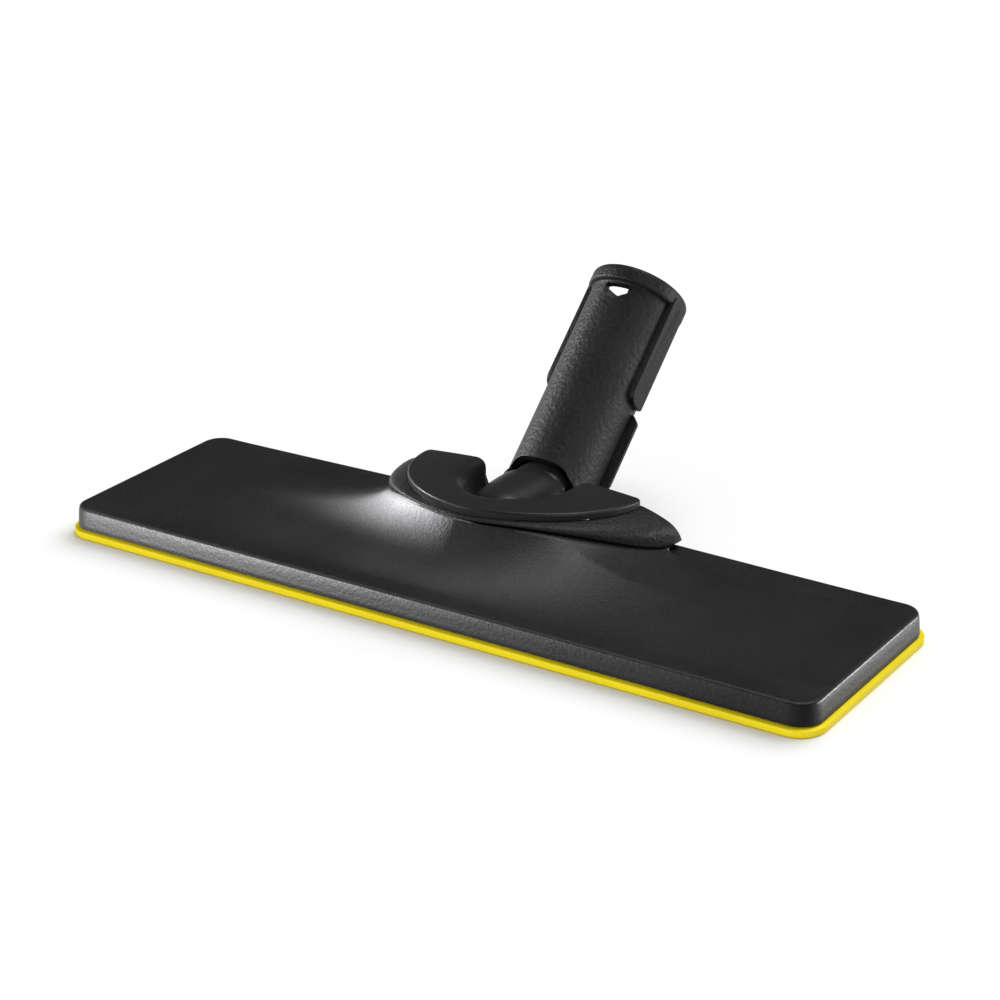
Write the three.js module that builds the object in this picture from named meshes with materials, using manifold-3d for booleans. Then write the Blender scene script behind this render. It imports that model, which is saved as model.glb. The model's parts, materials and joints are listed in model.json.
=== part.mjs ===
// Flat steam floor head with a low joint housing and a tilting, rolling connector tube.
// Millimetres. +X runs along the head, -Y is the front, +Z is up.
// The origin is the middle of the sole's underside.
import * as THREE from 'three';
import { mergeVertices } from 'three/addons/utils/BufferGeometryUtils.js';
import Module from 'manifold-3d';

const wasm = await Module();
wasm.setup();

// ---------------------------------------------------------------- driving dimensions

const GAP = 0.3;                    // room left between neighbouring pieces
const HALF_LENGTH = 155;            // half of the head's length
const HALF_WIDTH = 45;              // half of the head's depth
const CORNER = 10;                  // plan corner radius of the sole
const SOLE_TOP = 2.5;               // thickness of the sole's visible rim
const RIM_TOP = 11;                 // height of the cover's flat rim band
const RIM_BAND = 8.5;               // width of the flat band round the cover
const BACK_RISE = 2;                // how far the back rim climbs beside the joint
const WALL = 2.4;                   // wall of the moulded shells

const TILT_REST = THREE.MathUtils.degToRad(48);   // tube's lean from vertical at rest
const PIVOT = new THREE.Vector3(0, 47.6, 17.7);   // crossing of the roll and tilt axes

const TUBE_RADIUS = 17;
const TUBE_BORE = 14.2;
const TUBE_TOP = 88.4;              // mouth of the tube above the pivot, along its axis
const COLLAR_RADIUS = 19;
const COLLAR_HEIGHT = 5.8;
const LEAD_IN = 1.4;                // widening of the bore at the mouth
const EAR_RADIUS = 7.5;
const EAR_INNER = 12.75;            // half of the clear width between the fork's ears
const ARCH_TOP = 5.4;               // top of the front arch, along the tube from the pivot
const BACK_EDGE = 7;                // lower edge of the tube's back wall
const PAD_FACE = 18.9;              // flat outer face of the side pads
const FIN_EDGE = 20.3;              // outer edge of the low side fins

const HEAD_RADIUS = 13.4;           // ball-shaped head of the knuckle
const HEAD_HALF = 11.6;             // half of the head's width between its flats
const SEAT_RADIUS = 6.9;            // cylindrical seat that takes the pipe's ball
const BALL_RADIUS = 6.5;
const PIN_RADIUS = 3.4;
const JOURNAL_RADIUS = 5.5;
const DUCT_RADIUS = 3.9;            // steam way through the knuckle
const LINER_INNER = 8.8;

const POCKET_HALF = 19.5;           // half-width of the housing's open pocket
const POCKET_FRONT = 2;
const POCKET_WIDEST = 30;
const POCKET_FLOOR = 4.5;           // height of the rear cut-out's floor
const REAR_CUT_HALF = 26;

// Plan centre from which the lofted shells are drawn out.
const CENTRE_Y = 12;

// ---------------------------------------------------------------- solids and helpers

function toSolid(geometry) {
  const plain = geometry.clone();
  plain.deleteAttribute('normal');
  plain.deleteAttribute('uv');
  const merged = mergeVertices(plain, 1e-4);
  return new wasm.Manifold(new wasm.Mesh({
    numProp: 3,
    vertProperties: new Float32Array(merged.attributes.position.array),
    triVerts: new Uint32Array(merged.index.array),
  }));
}

function toGeometry(solid) {
  const mesh = solid.getMesh();
  const geometry = new THREE.BufferGeometry();
  geometry.setAttribute('position', new THREE.BufferAttribute(new Float32Array(mesh.vertProperties), 3));
  geometry.setIndex(new THREE.BufferAttribute(new Uint32Array(mesh.triVerts), 1));
  geometry.computeVertexNormals();
  return geometry;
}

function cut(body, ...tools) {
  return tools.reduce((rest, tool) => rest.subtract(tool), body);
}

function join(first, ...others) {
  return others.reduce((sum, next) => sum.add(next), first);
}

function block(x0, x1, y0, y1, z0, z1) {
  const geometry = new THREE.BoxGeometry(x1 - x0, y1 - y0, z1 - z0);
  geometry.translate((x0 + x1) / 2, (y0 + y1) / 2, (z0 + z1) / 2);
  return toSolid(geometry);
}

// A round bar between two points.
function bar(from, to, radius, sides = 32, endRadius = radius) {
  const along = new THREE.Vector3().subVectors(to, from);
  const geometry = new THREE.CylinderGeometry(endRadius, radius, along.length(), sides);
  const turn = new THREE.Quaternion().setFromUnitVectors(
    new THREE.Vector3(0, 1, 0), along.clone().normalize());
  geometry.applyQuaternion(turn);
  const middle = new THREE.Vector3().addVectors(from, to).multiplyScalar(0.5);
  geometry.translate(middle.x, middle.y, middle.z);
  return toSolid(geometry);
}

function upright(x, y, z0, z1, radius, sides = 16) {
  return bar(new THREE.Vector3(x, y, z0), new THREE.Vector3(x, y, z1), radius, sides);
}

function alongY(y0, y1, z, radius, sides = 32, endRadius = radius) {
  return bar(new THREE.Vector3(0, y0, z), new THREE.Vector3(0, y1, z), radius, sides, endRadius);
}

function alongX(x0, x1, y, z, radius, sides = 24) {
  return bar(new THREE.Vector3(x0, y, z), new THREE.Vector3(x1, y, z), radius, sides);
}

// Prism over a plan outline.
function plate(points, z0, z1) {
  const shape = new THREE.Shape(points);
  const geometry = new THREE.ExtrudeGeometry(shape, { depth: z1 - z0, bevelEnabled: false });
  geometry.translate(0, 0, z0);
  return toSolid(geometry);
}

// Closed surface through loops of equal point count: joined into a ring, or capped at both ends.
function loft(loops, ring) {
  const count = loops[0].length;
  const positions = [];
  const faces = [];
  loops.forEach((loop) => loop.forEach((p) => positions.push(p.x, p.y, p.z)));
  const last = ring ? loops.length : loops.length - 1;
  for (let k = 0; k < last; k += 1) {
    const next = (k + 1) % loops.length;
    for (let i = 0; i < count; i += 1) {
      const j = (i + 1) % count;
      faces.push(k * count + i, k * count + j, next * count + j);
      faces.push(k * count + i, next * count + j, next * count + i);
    }
  }
  if (!ring) {
    [0, loops.length - 1].forEach((k, end) => {
      const middle = loops[k].reduce((sum, p) => sum.add(p), new THREE.Vector3()).divideScalar(count);
      const hub = positions.length / 3;
      positions.push(middle.x, middle.y, middle.z);
      for (let i = 0; i < count; i += 1) {
        const j = (i + 1) % count;
        if (end === 0) {
          faces.push(hub, k * count + j, k * count + i);
        } else {
          faces.push(hub, k * count + i, k * count + j);
        }
      }
    });
  }
  return outwardSolid(positions, faces);
}

function outwardSolid(positions, faces) {
  const corner = (i) => new THREE.Vector3(positions[3 * i], positions[3 * i + 1], positions[3 * i + 2]);
  let volume = 0;
  for (let i = 0; i < faces.length; i += 3) {
    volume += corner(faces[i]).dot(corner(faces[i + 1]).cross(corner(faces[i + 2])));
  }
  if (volume < 0) {
    for (let i = 0; i < faces.length; i += 3) {
      [faces[i], faces[i + 1]] = [faces[i + 1], faces[i]];
    }
  }
  const geometry = new THREE.BufferGeometry();
  geometry.setAttribute('position', new THREE.BufferAttribute(new Float32Array(positions), 3));
  geometry.setIndex(faces);
  return toSolid(geometry);
}

const group = new THREE.Group();

function addNode(parent, name, geometry, colour, roughness, metalness = 0) {
  const material = new THREE.MeshStandardMaterial({ color: colour, roughness, metalness });
  const mesh = new THREE.Mesh(geometry, material);
  mesh.name = name;
  parent.add(mesh);
  return mesh;
}

const BLACK = 0x242426;
const SATIN = 0x2d2d2f;
const YELLOW = 0xf2dd1c;
const SEAL = 0x3a3a3c;
const STEEL = 0xb8bcc0;
const INNER = 0x8b8f94;
const HOOK = 0x9a9da0;
const ACETAL = 0xe6e4dc;

// ---------------------------------------------------------------- plan outlines

function roundedRectangle(halfX, halfY, radius, steps = 5) {
  const points = [];
  const corners = [[1, 1, 0], [-1, 1, 90], [-1, -1, 180], [1, -1, 270]];
  corners.forEach(([sx, sy, start]) => {
    for (let i = 0; i <= steps; i += 1) {
      const angle = THREE.MathUtils.degToRad(start + (90 * i) / steps);
      points.push(new THREE.Vector2(
        sx * (halfX - radius) + radius * Math.cos(angle),
        sy * (halfY - radius) + radius * Math.sin(angle)));
    }
  });
  return points;
}

function insideRim(x, y, inset) {
  const radius = Math.max(CORNER - inset, 1);
  const dx = Math.abs(x) - (HALF_LENGTH - inset - radius);
  const dy = Math.abs(y) - (HALF_WIDTH - inset - radius);
  if (dx > 0 && dy > 0) return Math.hypot(dx, dy) < radius;
  return dx < radius && dy < radius;
}

// Housing outline where it meets the cover: a pointed oval in front, straight at the back.
const HOUSING = { halfX: 59, widest: 41, depth: 53, power: 1.75, back: 43, endZ: 13, frontZ: 28.5 };
// Cap outline on top of the housing.
const CAP = { halfX: 46, widest: 35, depth: 45.5, power: 1.78, back: 37 };

function insideOval(oval, x, y, inset = 0) {
  const halfX = oval.halfX - inset;
  const depth = oval.depth - inset;
  if (Math.abs(x) >= halfX || y >= oval.back - inset) return false;
  if (y > oval.widest) return true;
  const side = Math.abs(x / halfX) ** oval.power;
  const front = Math.abs((oval.widest - y) / depth) ** oval.power;
  return side + front < 1;
}

// Distance from the plan centre to the edge of a shape, along one direction.
function reach(inside, angle) {
  let near = 0;
  let far = 2 * HALF_LENGTH;
  for (let i = 0; i < 40; i += 1) {
    const middle = (near + far) / 2;
    if (inside(middle * Math.cos(angle), CENTRE_Y + middle * Math.sin(angle))) {
      near = middle;
    } else {
      far = middle;
    }
  }
  return near;
}

function onRay(angle, distance) {
  return new THREE.Vector2(distance * Math.cos(angle), CENTRE_Y + distance * Math.sin(angle));
}

// Directions that land evenly along the head's outline, closer together at its corners.
function directions(spacing) {
  const outline = roundedRectangle(HALF_LENGTH, HALF_WIDTH, CORNER, 3);
  const angles = [];
  outline.forEach((start, i) => {
    const end = outline[(i + 1) % outline.length];
    const pieces = Math.max(1, Math.round(start.distanceTo(end) / spacing));
    for (let k = 0; k < pieces; k += 1) {
      const p = new THREE.Vector2().lerpVectors(start, end, k / pieces);
      angles.push(Math.atan2(p.y - CENTRE_Y, p.x));
    }
  });
  return angles.sort((a, b) => a - b);
}

function evenDirections(count) {
  return Array.from({ length: count }, (_, i) => (2 * Math.PI * (i + 0.5)) / count - Math.PI);
}

// ---------------------------------------------------------------- heights of the visible shells

function rimHeight(x, y) {
  const towardsBack = THREE.MathUtils.smoothstep(y, 0, HALF_WIDTH);
  const towardsMiddle = Math.max(0, 1 - Math.abs(x) / 140) ** 1.2;
  return RIM_TOP + BACK_RISE * towardsBack * towardsMiddle;
}

function housingFootHeight(x, y) {
  if (y > HOUSING.widest) return HOUSING.endZ;
  const bulge = 1 - Math.abs(Math.min(1, Math.abs(x) / HOUSING.halfX)) ** 3;
  return HOUSING.endZ + (HOUSING.frontZ - HOUSING.endZ) * bulge;
}

const HOUSING_LINE = 0.9;           // open joint line between cover and housing
const CAP_EDGE = 2.6;               // height of the cap's upright edge
const HOUSING_SEAT = 1.7;           // extra depth of the housing's inside under the cap

// The cap falls gently towards the back and towards its two ends.
const CROWN = { height: 33.6, frontY: -10, fall: 0.05, camber: 0.001 };

function capHeight(x, y) {
  return CROWN.height - CROWN.fall * (y - CROWN.frontY) - CROWN.camber * x * x;
}

const LIP = 2.5;                    // ledge of the cover under the housing's foot
const SWELL_POWER = 1.9;            // how late the cover climbs towards the housing

function coverPoint(angle, part) {
  const crease = reach((x, y) => insideRim(x, y, RIM_BAND + 1.5), angle);
  const housing = reach((x, y) => insideOval(HOUSING, x, y), angle);
  const foot = Math.min(housing, crease);
  const p = onRay(angle, THREE.MathUtils.lerp(crease, foot, part));
  const start = onRay(angle, crease);
  const end = onRay(angle, foot);
  const low = rimHeight(start.x, start.y);
  // Behind the joint the housing stands over the rim band, so the cover stays low there.
  const high = housing > crease ? low : housingFootHeight(end.x, end.y);
  return new THREE.Vector3(p.x, p.y, low + (high - low) * part ** SWELL_POWER);
}

// ---------------------------------------------------------------- sole and what sits in it

const SCREWS = [[-138, 0], [138, 0], [-70, -34], [70, -34], [-70, 34], [70, 34]];
const BLOCK_SCREWS = [[-25, -4], [25, -4], [-25, 19], [25, 19]];
const PAD = { halfX: 126, near: 11, far: 36, corner: 4, thickness: 1 };
const COMB = { halfX: 130, near: 38, far: 41, corner: 0.9, thickness: 1.2, pitch: 13, slit: 2 };
const OUTLET_ROWS = [-6, 6];
const OUTLET_STEP = 30;
const OUTLET_COUNT = 7;
const OUTLET_RADIUS = 1.6;

function stripOutline(strip, side, grow, radius) {
  const halfY = (strip.far - strip.near) / 2 + grow;
  const middle = side * (strip.near + strip.far) / 2;
  return roundedRectangle(strip.halfX + grow, halfY, radius, 2).map((p) => new THREE.Vector2(p.x, p.y + middle));
}

function makeSole() {
  const base = plate(roundedRectangle(HALF_LENGTH, HALF_WIDTH, CORNER), 0, SOLE_TOP);
  const ribOuter = plate(roundedRectangle(HALF_LENGTH - 6, HALF_WIDTH - 6, 4), SOLE_TOP - 0.5, 6);
  const ribInner = plate(roundedRectangle(HALF_LENGTH - 7, HALF_WIDTH - 7, 3), SOLE_TOP - 1, 7);
  const rearGap = block(-REAR_CUT_HALF - 2, REAR_CUT_HALF + 2, 30, 50, SOLE_TOP, 8);
  let sole = join(base, cut(ribOuter, ribInner, rearGap));
  SCREWS.forEach(([x, y]) => {
    sole = join(sole, upright(x, y, 1, 4.5, 4.6));
    sole = cut(sole, upright(x, y, -1, 3.2, 3.3), upright(x, y, 1, 6, 1.8, 12));
  });
  BLOCK_SCREWS.forEach(([x, y]) => {
    sole = join(sole, upright(x, y, 1.5, 3.8, 3));
    sole = cut(sole, upright(x, y, 2.2, 5, 1.5, 12));
  });
  [-1, 1].forEach((side) => {
    const padWell = plate(stripOutline(PAD, side, GAP, PAD.corner + GAP), -1, PAD.thickness + GAP);
    const combWell = plate(stripOutline(COMB, side, GAP, COMB.corner + GAP), -1, COMB.thickness + GAP);
    sole = cut(sole, padWell, combWell);
  });
  OUTLET_ROWS.forEach((y) => {
    for (let i = 0; i < OUTLET_COUNT; i += 1) {
      const x = (i - (OUTLET_COUNT - 1) / 2) * OUTLET_STEP;
      sole = cut(sole, upright(x, y, -1, SOLE_TOP + 1, OUTLET_RADIUS, 8));
    }
  });
  return sole;
}

function makeComb(side) {
  let comb = plate(stripOutline(COMB, side, 0, COMB.corner), 0, COMB.thickness);
  const count = Math.floor((2 * COMB.halfX) / COMB.pitch) - 1;
  for (let i = 0; i < count; i += 1) {
    const x = (i - (count - 1) / 2) * COMB.pitch;
    const y0 = side * COMB.near;
    const y1 = side * COMB.far;
    comb = cut(comb, block(x - COMB.slit / 2, x + COMB.slit / 2,
      Math.min(y0, y1) - 1, Math.max(y0, y1) + 1, -1, COMB.thickness / 2));
  }
  return comb;
}

// Screws: heights of the head's two faces and of the tip, then the radii of head and shank.
const COVER_SCREW = { low: 1.5, high: 2.9, tip: 8.4, head: 3, shank: 1.5 };
const BLOCK_SCREW = { low: 7.9, high: 9.3, tip: 2.7, head: 2.6, shank: 1.2 };
const CROSS_RECESS = { half: 1.5, halfWidth: 0.35, depth: 0.7 };

function makeScrew([x, y], kind) {
  const head = upright(x, y, kind.low, kind.high, kind.head, 12);
  const shank = upright(x, y, Math.min(kind.low, kind.tip), Math.max(kind.high, kind.tip), kind.shank, 8);
  const face = kind.tip > kind.low ? kind.low : kind.high;
  const { half, halfWidth, depth } = CROSS_RECESS;
  const slot = (rx, ry) => block(x - rx, x + rx, y - ry, y + ry, face - depth, face + depth);
  return cut(join(head, shank), slot(half, halfWidth), slot(halfWidth, half));
}

// ---------------------------------------------------------------- cover

function makeCover() {
  const angles = directions(13);
  const rim = (inset, z) => angles.map((angle) => {
    const p = onRay(angle, reach((x, y) => insideRim(x, y, inset), angle));
    return new THREE.Vector3(p.x, p.y, z === null ? rimHeight(p.x, p.y) : z);
  });
  const rimDropped = (inset, drop) => rim(inset, null).map((p) => p.setZ(p.z - drop));
  const swell = (part, drop) => angles.map((angle) => {
    const p = coverPoint(angle, part);
    return p.setZ(p.z - drop);
  });
  const lip = (drop) => angles.map((angle) => {
    const edge = coverPoint(angle, 1);
    const inner = reach((x, y) => insideOval(HOUSING, x, y, LIP), angle);
    const p = onRay(angle, Math.min(inner, Math.hypot(edge.x, edge.y - CENTRE_Y) - 1));
    return new THREE.Vector3(p.x, p.y, edge.z - drop);
  });
  const parts = [0, 0.3, 0.6, 0.82, 1];
  const loops = [
    rim(1.6, SOLE_TOP + 0.5),
    rimDropped(2.2, 1.5),
    rimDropped(2.8, 0.4),
    rimDropped(3.8, 0),
    ...parts.map((part) => swell(part, 0)),
    lip(0),
    lip(WALL),
    ...parts.slice().reverse().map((part) => swell(part, WALL)),
    rimDropped(4.2, WALL),
    rim(3.9, SOLE_TOP + 0.5),
  ];
  let cover = loft(loops, true);
  cover = cut(cover, block(-REAR_CUT_HALF, REAR_CUT_HALF, 34, 50, POCKET_FLOOR, 30));
  SCREWS.forEach(([x, y]) => {
    cover = join(cover, upright(x, y, 4.8, RIM_TOP - 1, 3.6));
    cover = cut(cover, upright(x, y, 3, RIM_TOP - 2.2, 1.8, 12));
  });
  return cover;
}

// ---------------------------------------------------------------- housing and cap

function pocketOutline(grow) {
  const points = [];
  const steps = 16;
  const depth = POCKET_WIDEST - POCKET_FRONT + grow;
  for (let i = 0; i <= steps; i += 1) {
    const angle = Math.PI + (Math.PI * i) / steps;
    points.push(new THREE.Vector2(
      (POCKET_HALF + grow) * Math.cos(angle), POCKET_WIDEST + depth * Math.sin(angle)));
  }
  points.push(new THREE.Vector2(POCKET_HALF + grow, 60), new THREE.Vector2(-POCKET_HALF - grow, 60));
  return points;
}

function makeHousing() {
  const angles = evenDirections(60);
  const edge = (oval, angle, inset) => reach((x, y) => insideOval(oval, x, y, inset), angle);
  const ring = (height, inset) => angles.map((angle) => {
    const foot = onRay(angle, edge(HOUSING, angle, 0));
    const top = onRay(angle, edge(CAP, angle, 0));
    const low = housingFootHeight(foot.x, foot.y) + HOUSING_LINE;
    const high = capHeight(top.x, top.y) - CAP_EDGE - GAP - (inset > 0 ? HOUSING_SEAT : 0);
    const start = onRay(angle, edge(HOUSING, angle, inset));
    const end = onRay(angle, edge(CAP, angle, inset));
    // The sides stay full until close to the cap, while the back leans in evenly.
    const fullness = height ** 3.4;
    const atBack = THREE.MathUtils.smoothstep(foot.y, POCKET_WIDEST, HOUSING.back);
    return new THREE.Vector3(
      THREE.MathUtils.lerp(start.x, end.x, fullness),
      THREE.MathUtils.lerp(start.y, end.y, THREE.MathUtils.lerp(fullness, height, atBack)),
      THREE.MathUtils.lerp(low, high, height));
  });
  const heights = [0, 0.35, 0.6, 0.8, 0.92, 1];
  const loops = [
    ...heights.map((height) => ring(height, 0)),
    ...heights.slice().reverse().map((height) => ring(height, WALL)),
  ];
  return cut(loft(loops, true), plate(pocketOutline(2 + GAP), 4, 60));
}

function makeCap() {
  const angles = evenDirections(60);
  const ring = (scale, inset, drop) => angles.map((angle) => {
    const p = onRay(angle, scale * reach((x, y) => insideOval(CAP, x, y, inset), angle));
    return new THREE.Vector3(p.x, p.y, capHeight(p.x, p.y) - drop);
  });
  const shell = loft([
    ring(0.3, 0, CAP_EDGE), ring(0.7, 0, CAP_EDGE), ring(1, 0, CAP_EDGE), ring(1, 0, 0.9),
    ring(1, 0.4, 0.25), ring(1, 1.2, 0), ring(0.75, 0, 0), ring(0.5, 0, 0), ring(0.25, 0, 0),
  ], false);
  const wall = plate(pocketOutline(2), 8, 29.5);
  const behind = block(-60, 60, CAP.back, 80, 0, 60);
  return cut(
    join(shell, cut(wall, behind)),
    plate(pocketOutline(0), 0, 60),
    alongY(-14, 12, PIVOT.z, JOURNAL_RADIUS + 0.5));
}

// ---------------------------------------------------------------- rolling knuckle

const SHOULDER_POWER = 2.3;         // how square the knuckle's upper section is, where 2 is round
const FRONT_OF_DOME = 8;            // the knuckle is round in front of this
const UNDERSIDE = [70, 112];        // angles from the top over which the barrel narrows
const NECK_SHOULDER = 38.5;         // where the barrel steps in to pass between the ears

// Section of the knuckle's barrel: a broad, slightly squared dome on top, narrow underneath.
function barrelSection(halfWidth, top, narrow, power) {
  const sides = 28;
  return Array.from({ length: sides }, (_, i) => {
    const fromTop = 180 - Math.abs(180 - (360 * i) / sides);
    const angle = THREE.MathUtils.degToRad((360 * i) / sides);
    const across = Math.abs(Math.sin(angle) / halfWidth) ** power;
    const upwards = Math.abs(Math.cos(angle) / top) ** power;
    const dome = (across + upwards) ** (-1 / power);
    const blend = THREE.MathUtils.smoothstep(fromTop, ...UNDERSIDE);
    const radius = THREE.MathUtils.lerp(dome, narrow, blend);
    return [radius * Math.sin(angle), radius * Math.cos(angle)];
  });
}

// Prism along X over an outline given as [y, z] pairs.
function sidePrism(outline, x0, x1) {
  const shape = new THREE.Shape(outline.map(([y, z]) => new THREE.Vector2(y, z)));
  const geometry = new THREE.ExtrudeGeometry(shape, { depth: x1 - x0, bevelEnabled: false });
  geometry.applyMatrix4(new THREE.Matrix4().set(0, 0, 1, x0, 1, 0, 0, 0, 0, 1, 0, 0, 0, 0, 0, 1));
  return toSolid(geometry);
}

// Prism along Y over an outline given as [x, z] pairs.
function frontPrism(outline, y0, y1) {
  const shape = new THREE.Shape(outline.map(([x, z]) => new THREE.Vector2(x, z)));
  const geometry = new THREE.ExtrudeGeometry(shape, { depth: y1 - y0, bevelEnabled: false });
  geometry.applyMatrix4(new THREE.Matrix4().set(1, 0, 0, 0, 0, 0, -1, y1, 0, 1, 0, 0, 0, 0, 0, 1));
  return toSolid(geometry);
}

// Room that the steam pipe sweeps through as the tube tilts.
function pipeSweep() {
  const half = 4.6;
  const far = 30;
  const upper = THREE.MathUtils.degToRad(33);
  const lower = THREE.MathUtils.degToRad(87);
  const at = (lean, along, across) => [
    PIVOT.y + along * Math.sin(lean) - across * Math.cos(lean),
    PIVOT.z + along * Math.cos(lean) + across * Math.sin(lean),
  ];
  const outline = [
    at(lower, 0, -half), at(lower, far, -half), at((upper + lower) / 2, far * 1.3, 0),
    at(upper, far, half), at(upper, 0, half),
  ];
  return sidePrism(outline, -half, half);
}

const CLIP_GROOVE = [-8.7, -7.8];   // where the retaining clip sits on the journal

function makeKnuckle() {
  // Stations along Y: position, half-width, height on top, radius underneath.
  const journal = JOURNAL_RADIUS;
  const stations = [
    [-9, journal, journal, journal], [3.7, journal, journal, journal], [4.4, 6.3, 6.2, 6],
    [5.5, 9, 9, 7.4], [8.5, 11.4, 11.4, 8.2], [12, 12.6, 12.7, 8.4], [18, 13.4, 13, 8.4],
    [24, 14.3, 13, 8.4], [31, 15, 12.9, 8.4], [36, 15, 12.6, 8.4], [NECK_SHOULDER, 15, 12, 8.4],
    [NECK_SHOULDER + 0.1, 13.2, 11.9, 8.4], [40.2, 13.2, 12.4, 8.4], [42, 13.2, 12.9, 8.4],
    [PIVOT.y, HEAD_RADIUS, HEAD_RADIUS, 8.4],
  ];
  const loops = stations.map(([y, halfWidth, top, narrow]) => {
    const power = y < FRONT_OF_DOME ? 2 : SHOULDER_POWER;
    return barrelSection(halfWidth, top, narrow, power).map(([x, z]) => new THREE.Vector3(x, y, PIVOT.z + z));
  });
  const headGeometry = new THREE.SphereGeometry(HEAD_RADIUS, 24, 16);
  headGeometry.rotateZ(Math.PI / 2);
  headGeometry.translate(PIVOT.x, PIVOT.y, PIVOT.z);
  const headRoom = block(-HEAD_HALF, HEAD_HALF, 0, 80, PIVOT.z - 9, 60);
  const head = toSolid(headGeometry).intersect(headRoom);
  const groove = cut(
    alongY(CLIP_GROOVE[0], CLIP_GROOVE[1], PIVOT.z, JOURNAL_RADIUS + 1, 24),
    alongY(CLIP_GROOVE[0] - 1, CLIP_GROOVE[1] + 1, PIVOT.z, JOURNAL_RADIUS - 0.65, 24));
  const beside = [-1, 1].map((side) => block(
    ...onSide(side, HEAD_HALF, 2 * HEAD_HALF), NECK_SHOULDER, 80, 0, 60));
  return cut(
    join(loft(loops, false), head),
    ...beside,
    alongY(PIVOT.y - 9.5, 70, PIVOT.z, SEAT_RADIUS),
    alongY(-12, PIVOT.y - 8, PIVOT.z, DUCT_RADIUS, 24),
    alongX(-20, 20, PIVOT.y, PIVOT.z, PIN_RADIUS + GAP),
    pipeSweep(),
    groove);
}

function lyingRing(inner, outer, y0, y1, z, sides = 18) {
  return cut(alongY(y0, y1, z, outer, sides), alongY(y0 - 1, y1 + 1, z, inner, sides));
}

function sideRing(inner, outer, x0, x1, y, z, sides = 18) {
  return cut(alongX(x0, x1, y, z, outer, sides), alongX(x0 - 1, x1 + 1, y, z, inner, sides));
}

// ---------------------------------------------------------------- bearing block and steam way

const CRADLE = [12, 24];            // stretch of the barrel that the cradle carries
const FRONT_RING = [-7.5, -1];      // stretch of the journal inside its ring
const BLOCK = { halfX: 29, front: -9.3, back: 25.5 };
const BLOCK_BASE = [5.6, 7.6];      // heights of the block's base plate

function makeBearingBlock() {
  const base = block(-BLOCK.halfX, BLOCK.halfX, BLOCK.front, BLOCK.back, BLOCK_BASE[0], BLOCK_BASE[1]);
  const pedestal = join(
    block(-10, 10, FRONT_RING[0], FRONT_RING[1], BLOCK_BASE[0], PIVOT.z),
    alongY(FRONT_RING[0], FRONT_RING[1], PIVOT.z, 10));
  const cradle = block(-11, 11, CRADLE[0], CRADLE[1], BLOCK_BASE[0], PIVOT.z - 5);
  const bores = [
    alongY(FRONT_RING[0] - 1, FRONT_RING[1] + 1, PIVOT.z, 7.6),
    alongY(CRADLE[0] - 1, CRADLE[1] + 1, PIVOT.z, 10.5),
  ];
  const holes = BLOCK_SCREWS.map(([x, y]) => upright(x, y, 4, 9, 1.5, 12));
  return cut(join(base, pedestal, cradle), ...bores, ...holes);
}

function makeLiner() {
  const ring = lyingRing(LINER_INNER, 10.2, CRADLE[0] + 0.2, CRADLE[1] - 0.2, PIVOT.z, 36);
  return cut(ring, block(-20, 20, 0, 40, PIVOT.z - 5.2, 40));
}

const CHAMBER = { halfX: 110, halfY: 13 };
const DISTRIBUTOR = { halfX: 118, halfY: 28.5 };
const INLET_Y = -16;

function makeDistributor() {
  const top = plate(roundedRectangle(DISTRIBUTOR.halfX, DISTRIBUTOR.halfY, 8), 4.1, 5.3);
  const outer = plate(roundedRectangle(CHAMBER.halfX + 1, CHAMBER.halfY + 1, 5), 2.8, 4.6);
  const inner = plate(roundedRectangle(CHAMBER.halfX, CHAMBER.halfY, 4), 2, 4.1);
  const slope = block(-6, 6, INLET_Y - 5, -CHAMBER.halfY + 2, 2, 4.1);
  const inletWall = block(-7, 7, INLET_Y - 6, -CHAMBER.halfY, 2.8, 4.6);
  const holes = BLOCK_SCREWS.map(([x, y]) => upright(x, y, 1, 9, 1.7, 12));
  return cut(join(top, outer, inletWall), inner, slope, upright(0, INLET_Y, 1, 9, 3.9), ...holes);
}

function makeGasket() {
  return cut(
    plate(roundedRectangle(DISTRIBUTOR.halfX, DISTRIBUTOR.halfY, 8), 2.8, 3.8),
    plate(roundedRectangle(DISTRIBUTOR.halfX - 4, DISTRIBUTOR.halfY - 3.5, 5), 2, 5));
}

function makeElbow() {
  const bend = 6;
  const route = new THREE.CurvePath();
  const corner = new THREE.Vector3(0, INLET_Y, PIVOT.z);
  const bendStart = new THREE.Vector3(0, INLET_Y, PIVOT.z - bend);
  const bendEnd = new THREE.Vector3(0, INLET_Y + bend, PIVOT.z);
  route.add(new THREE.LineCurve3(new THREE.Vector3(0, INLET_Y, 4.4), bendStart));
  route.add(new THREE.QuadraticBezierCurve3(bendStart, corner, bendEnd));
  route.add(new THREE.LineCurve3(bendEnd, new THREE.Vector3(0, -4, PIVOT.z)));
  const section = new THREE.Shape();
  section.absarc(0, 0, 3.5, 0, 2 * Math.PI);
  const way = new THREE.Path();
  way.absarc(0, 0, 2.3, 0, 2 * Math.PI, true);
  section.holes.push(way);
  return toSolid(new THREE.ExtrudeGeometry(section, { steps: 12, curveSegments: 5, extrudePath: route }));
}

// ---------------------------------------------------------------- tube, in its own upright frame

const FORK_TOP = 16;                // where the fork becomes the full tube

function earOutline() {
  const points = [];
  const steps = 10;
  for (let i = 0; i <= steps; i += 1) {
    const angle = Math.PI + (Math.PI * i) / steps;
    points.push([EAR_RADIUS * Math.cos(angle), EAR_RADIUS * Math.sin(angle)]);
  }
  points.push([EAR_RADIUS, 1.5], [11, 6], [18, BACK_EDGE], [18, FORK_TOP]);
  points.push([-18, FORK_TOP], [-18, 4], [-11, 2.5], [-EAR_RADIUS, -2]);
  return points;
}

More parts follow.
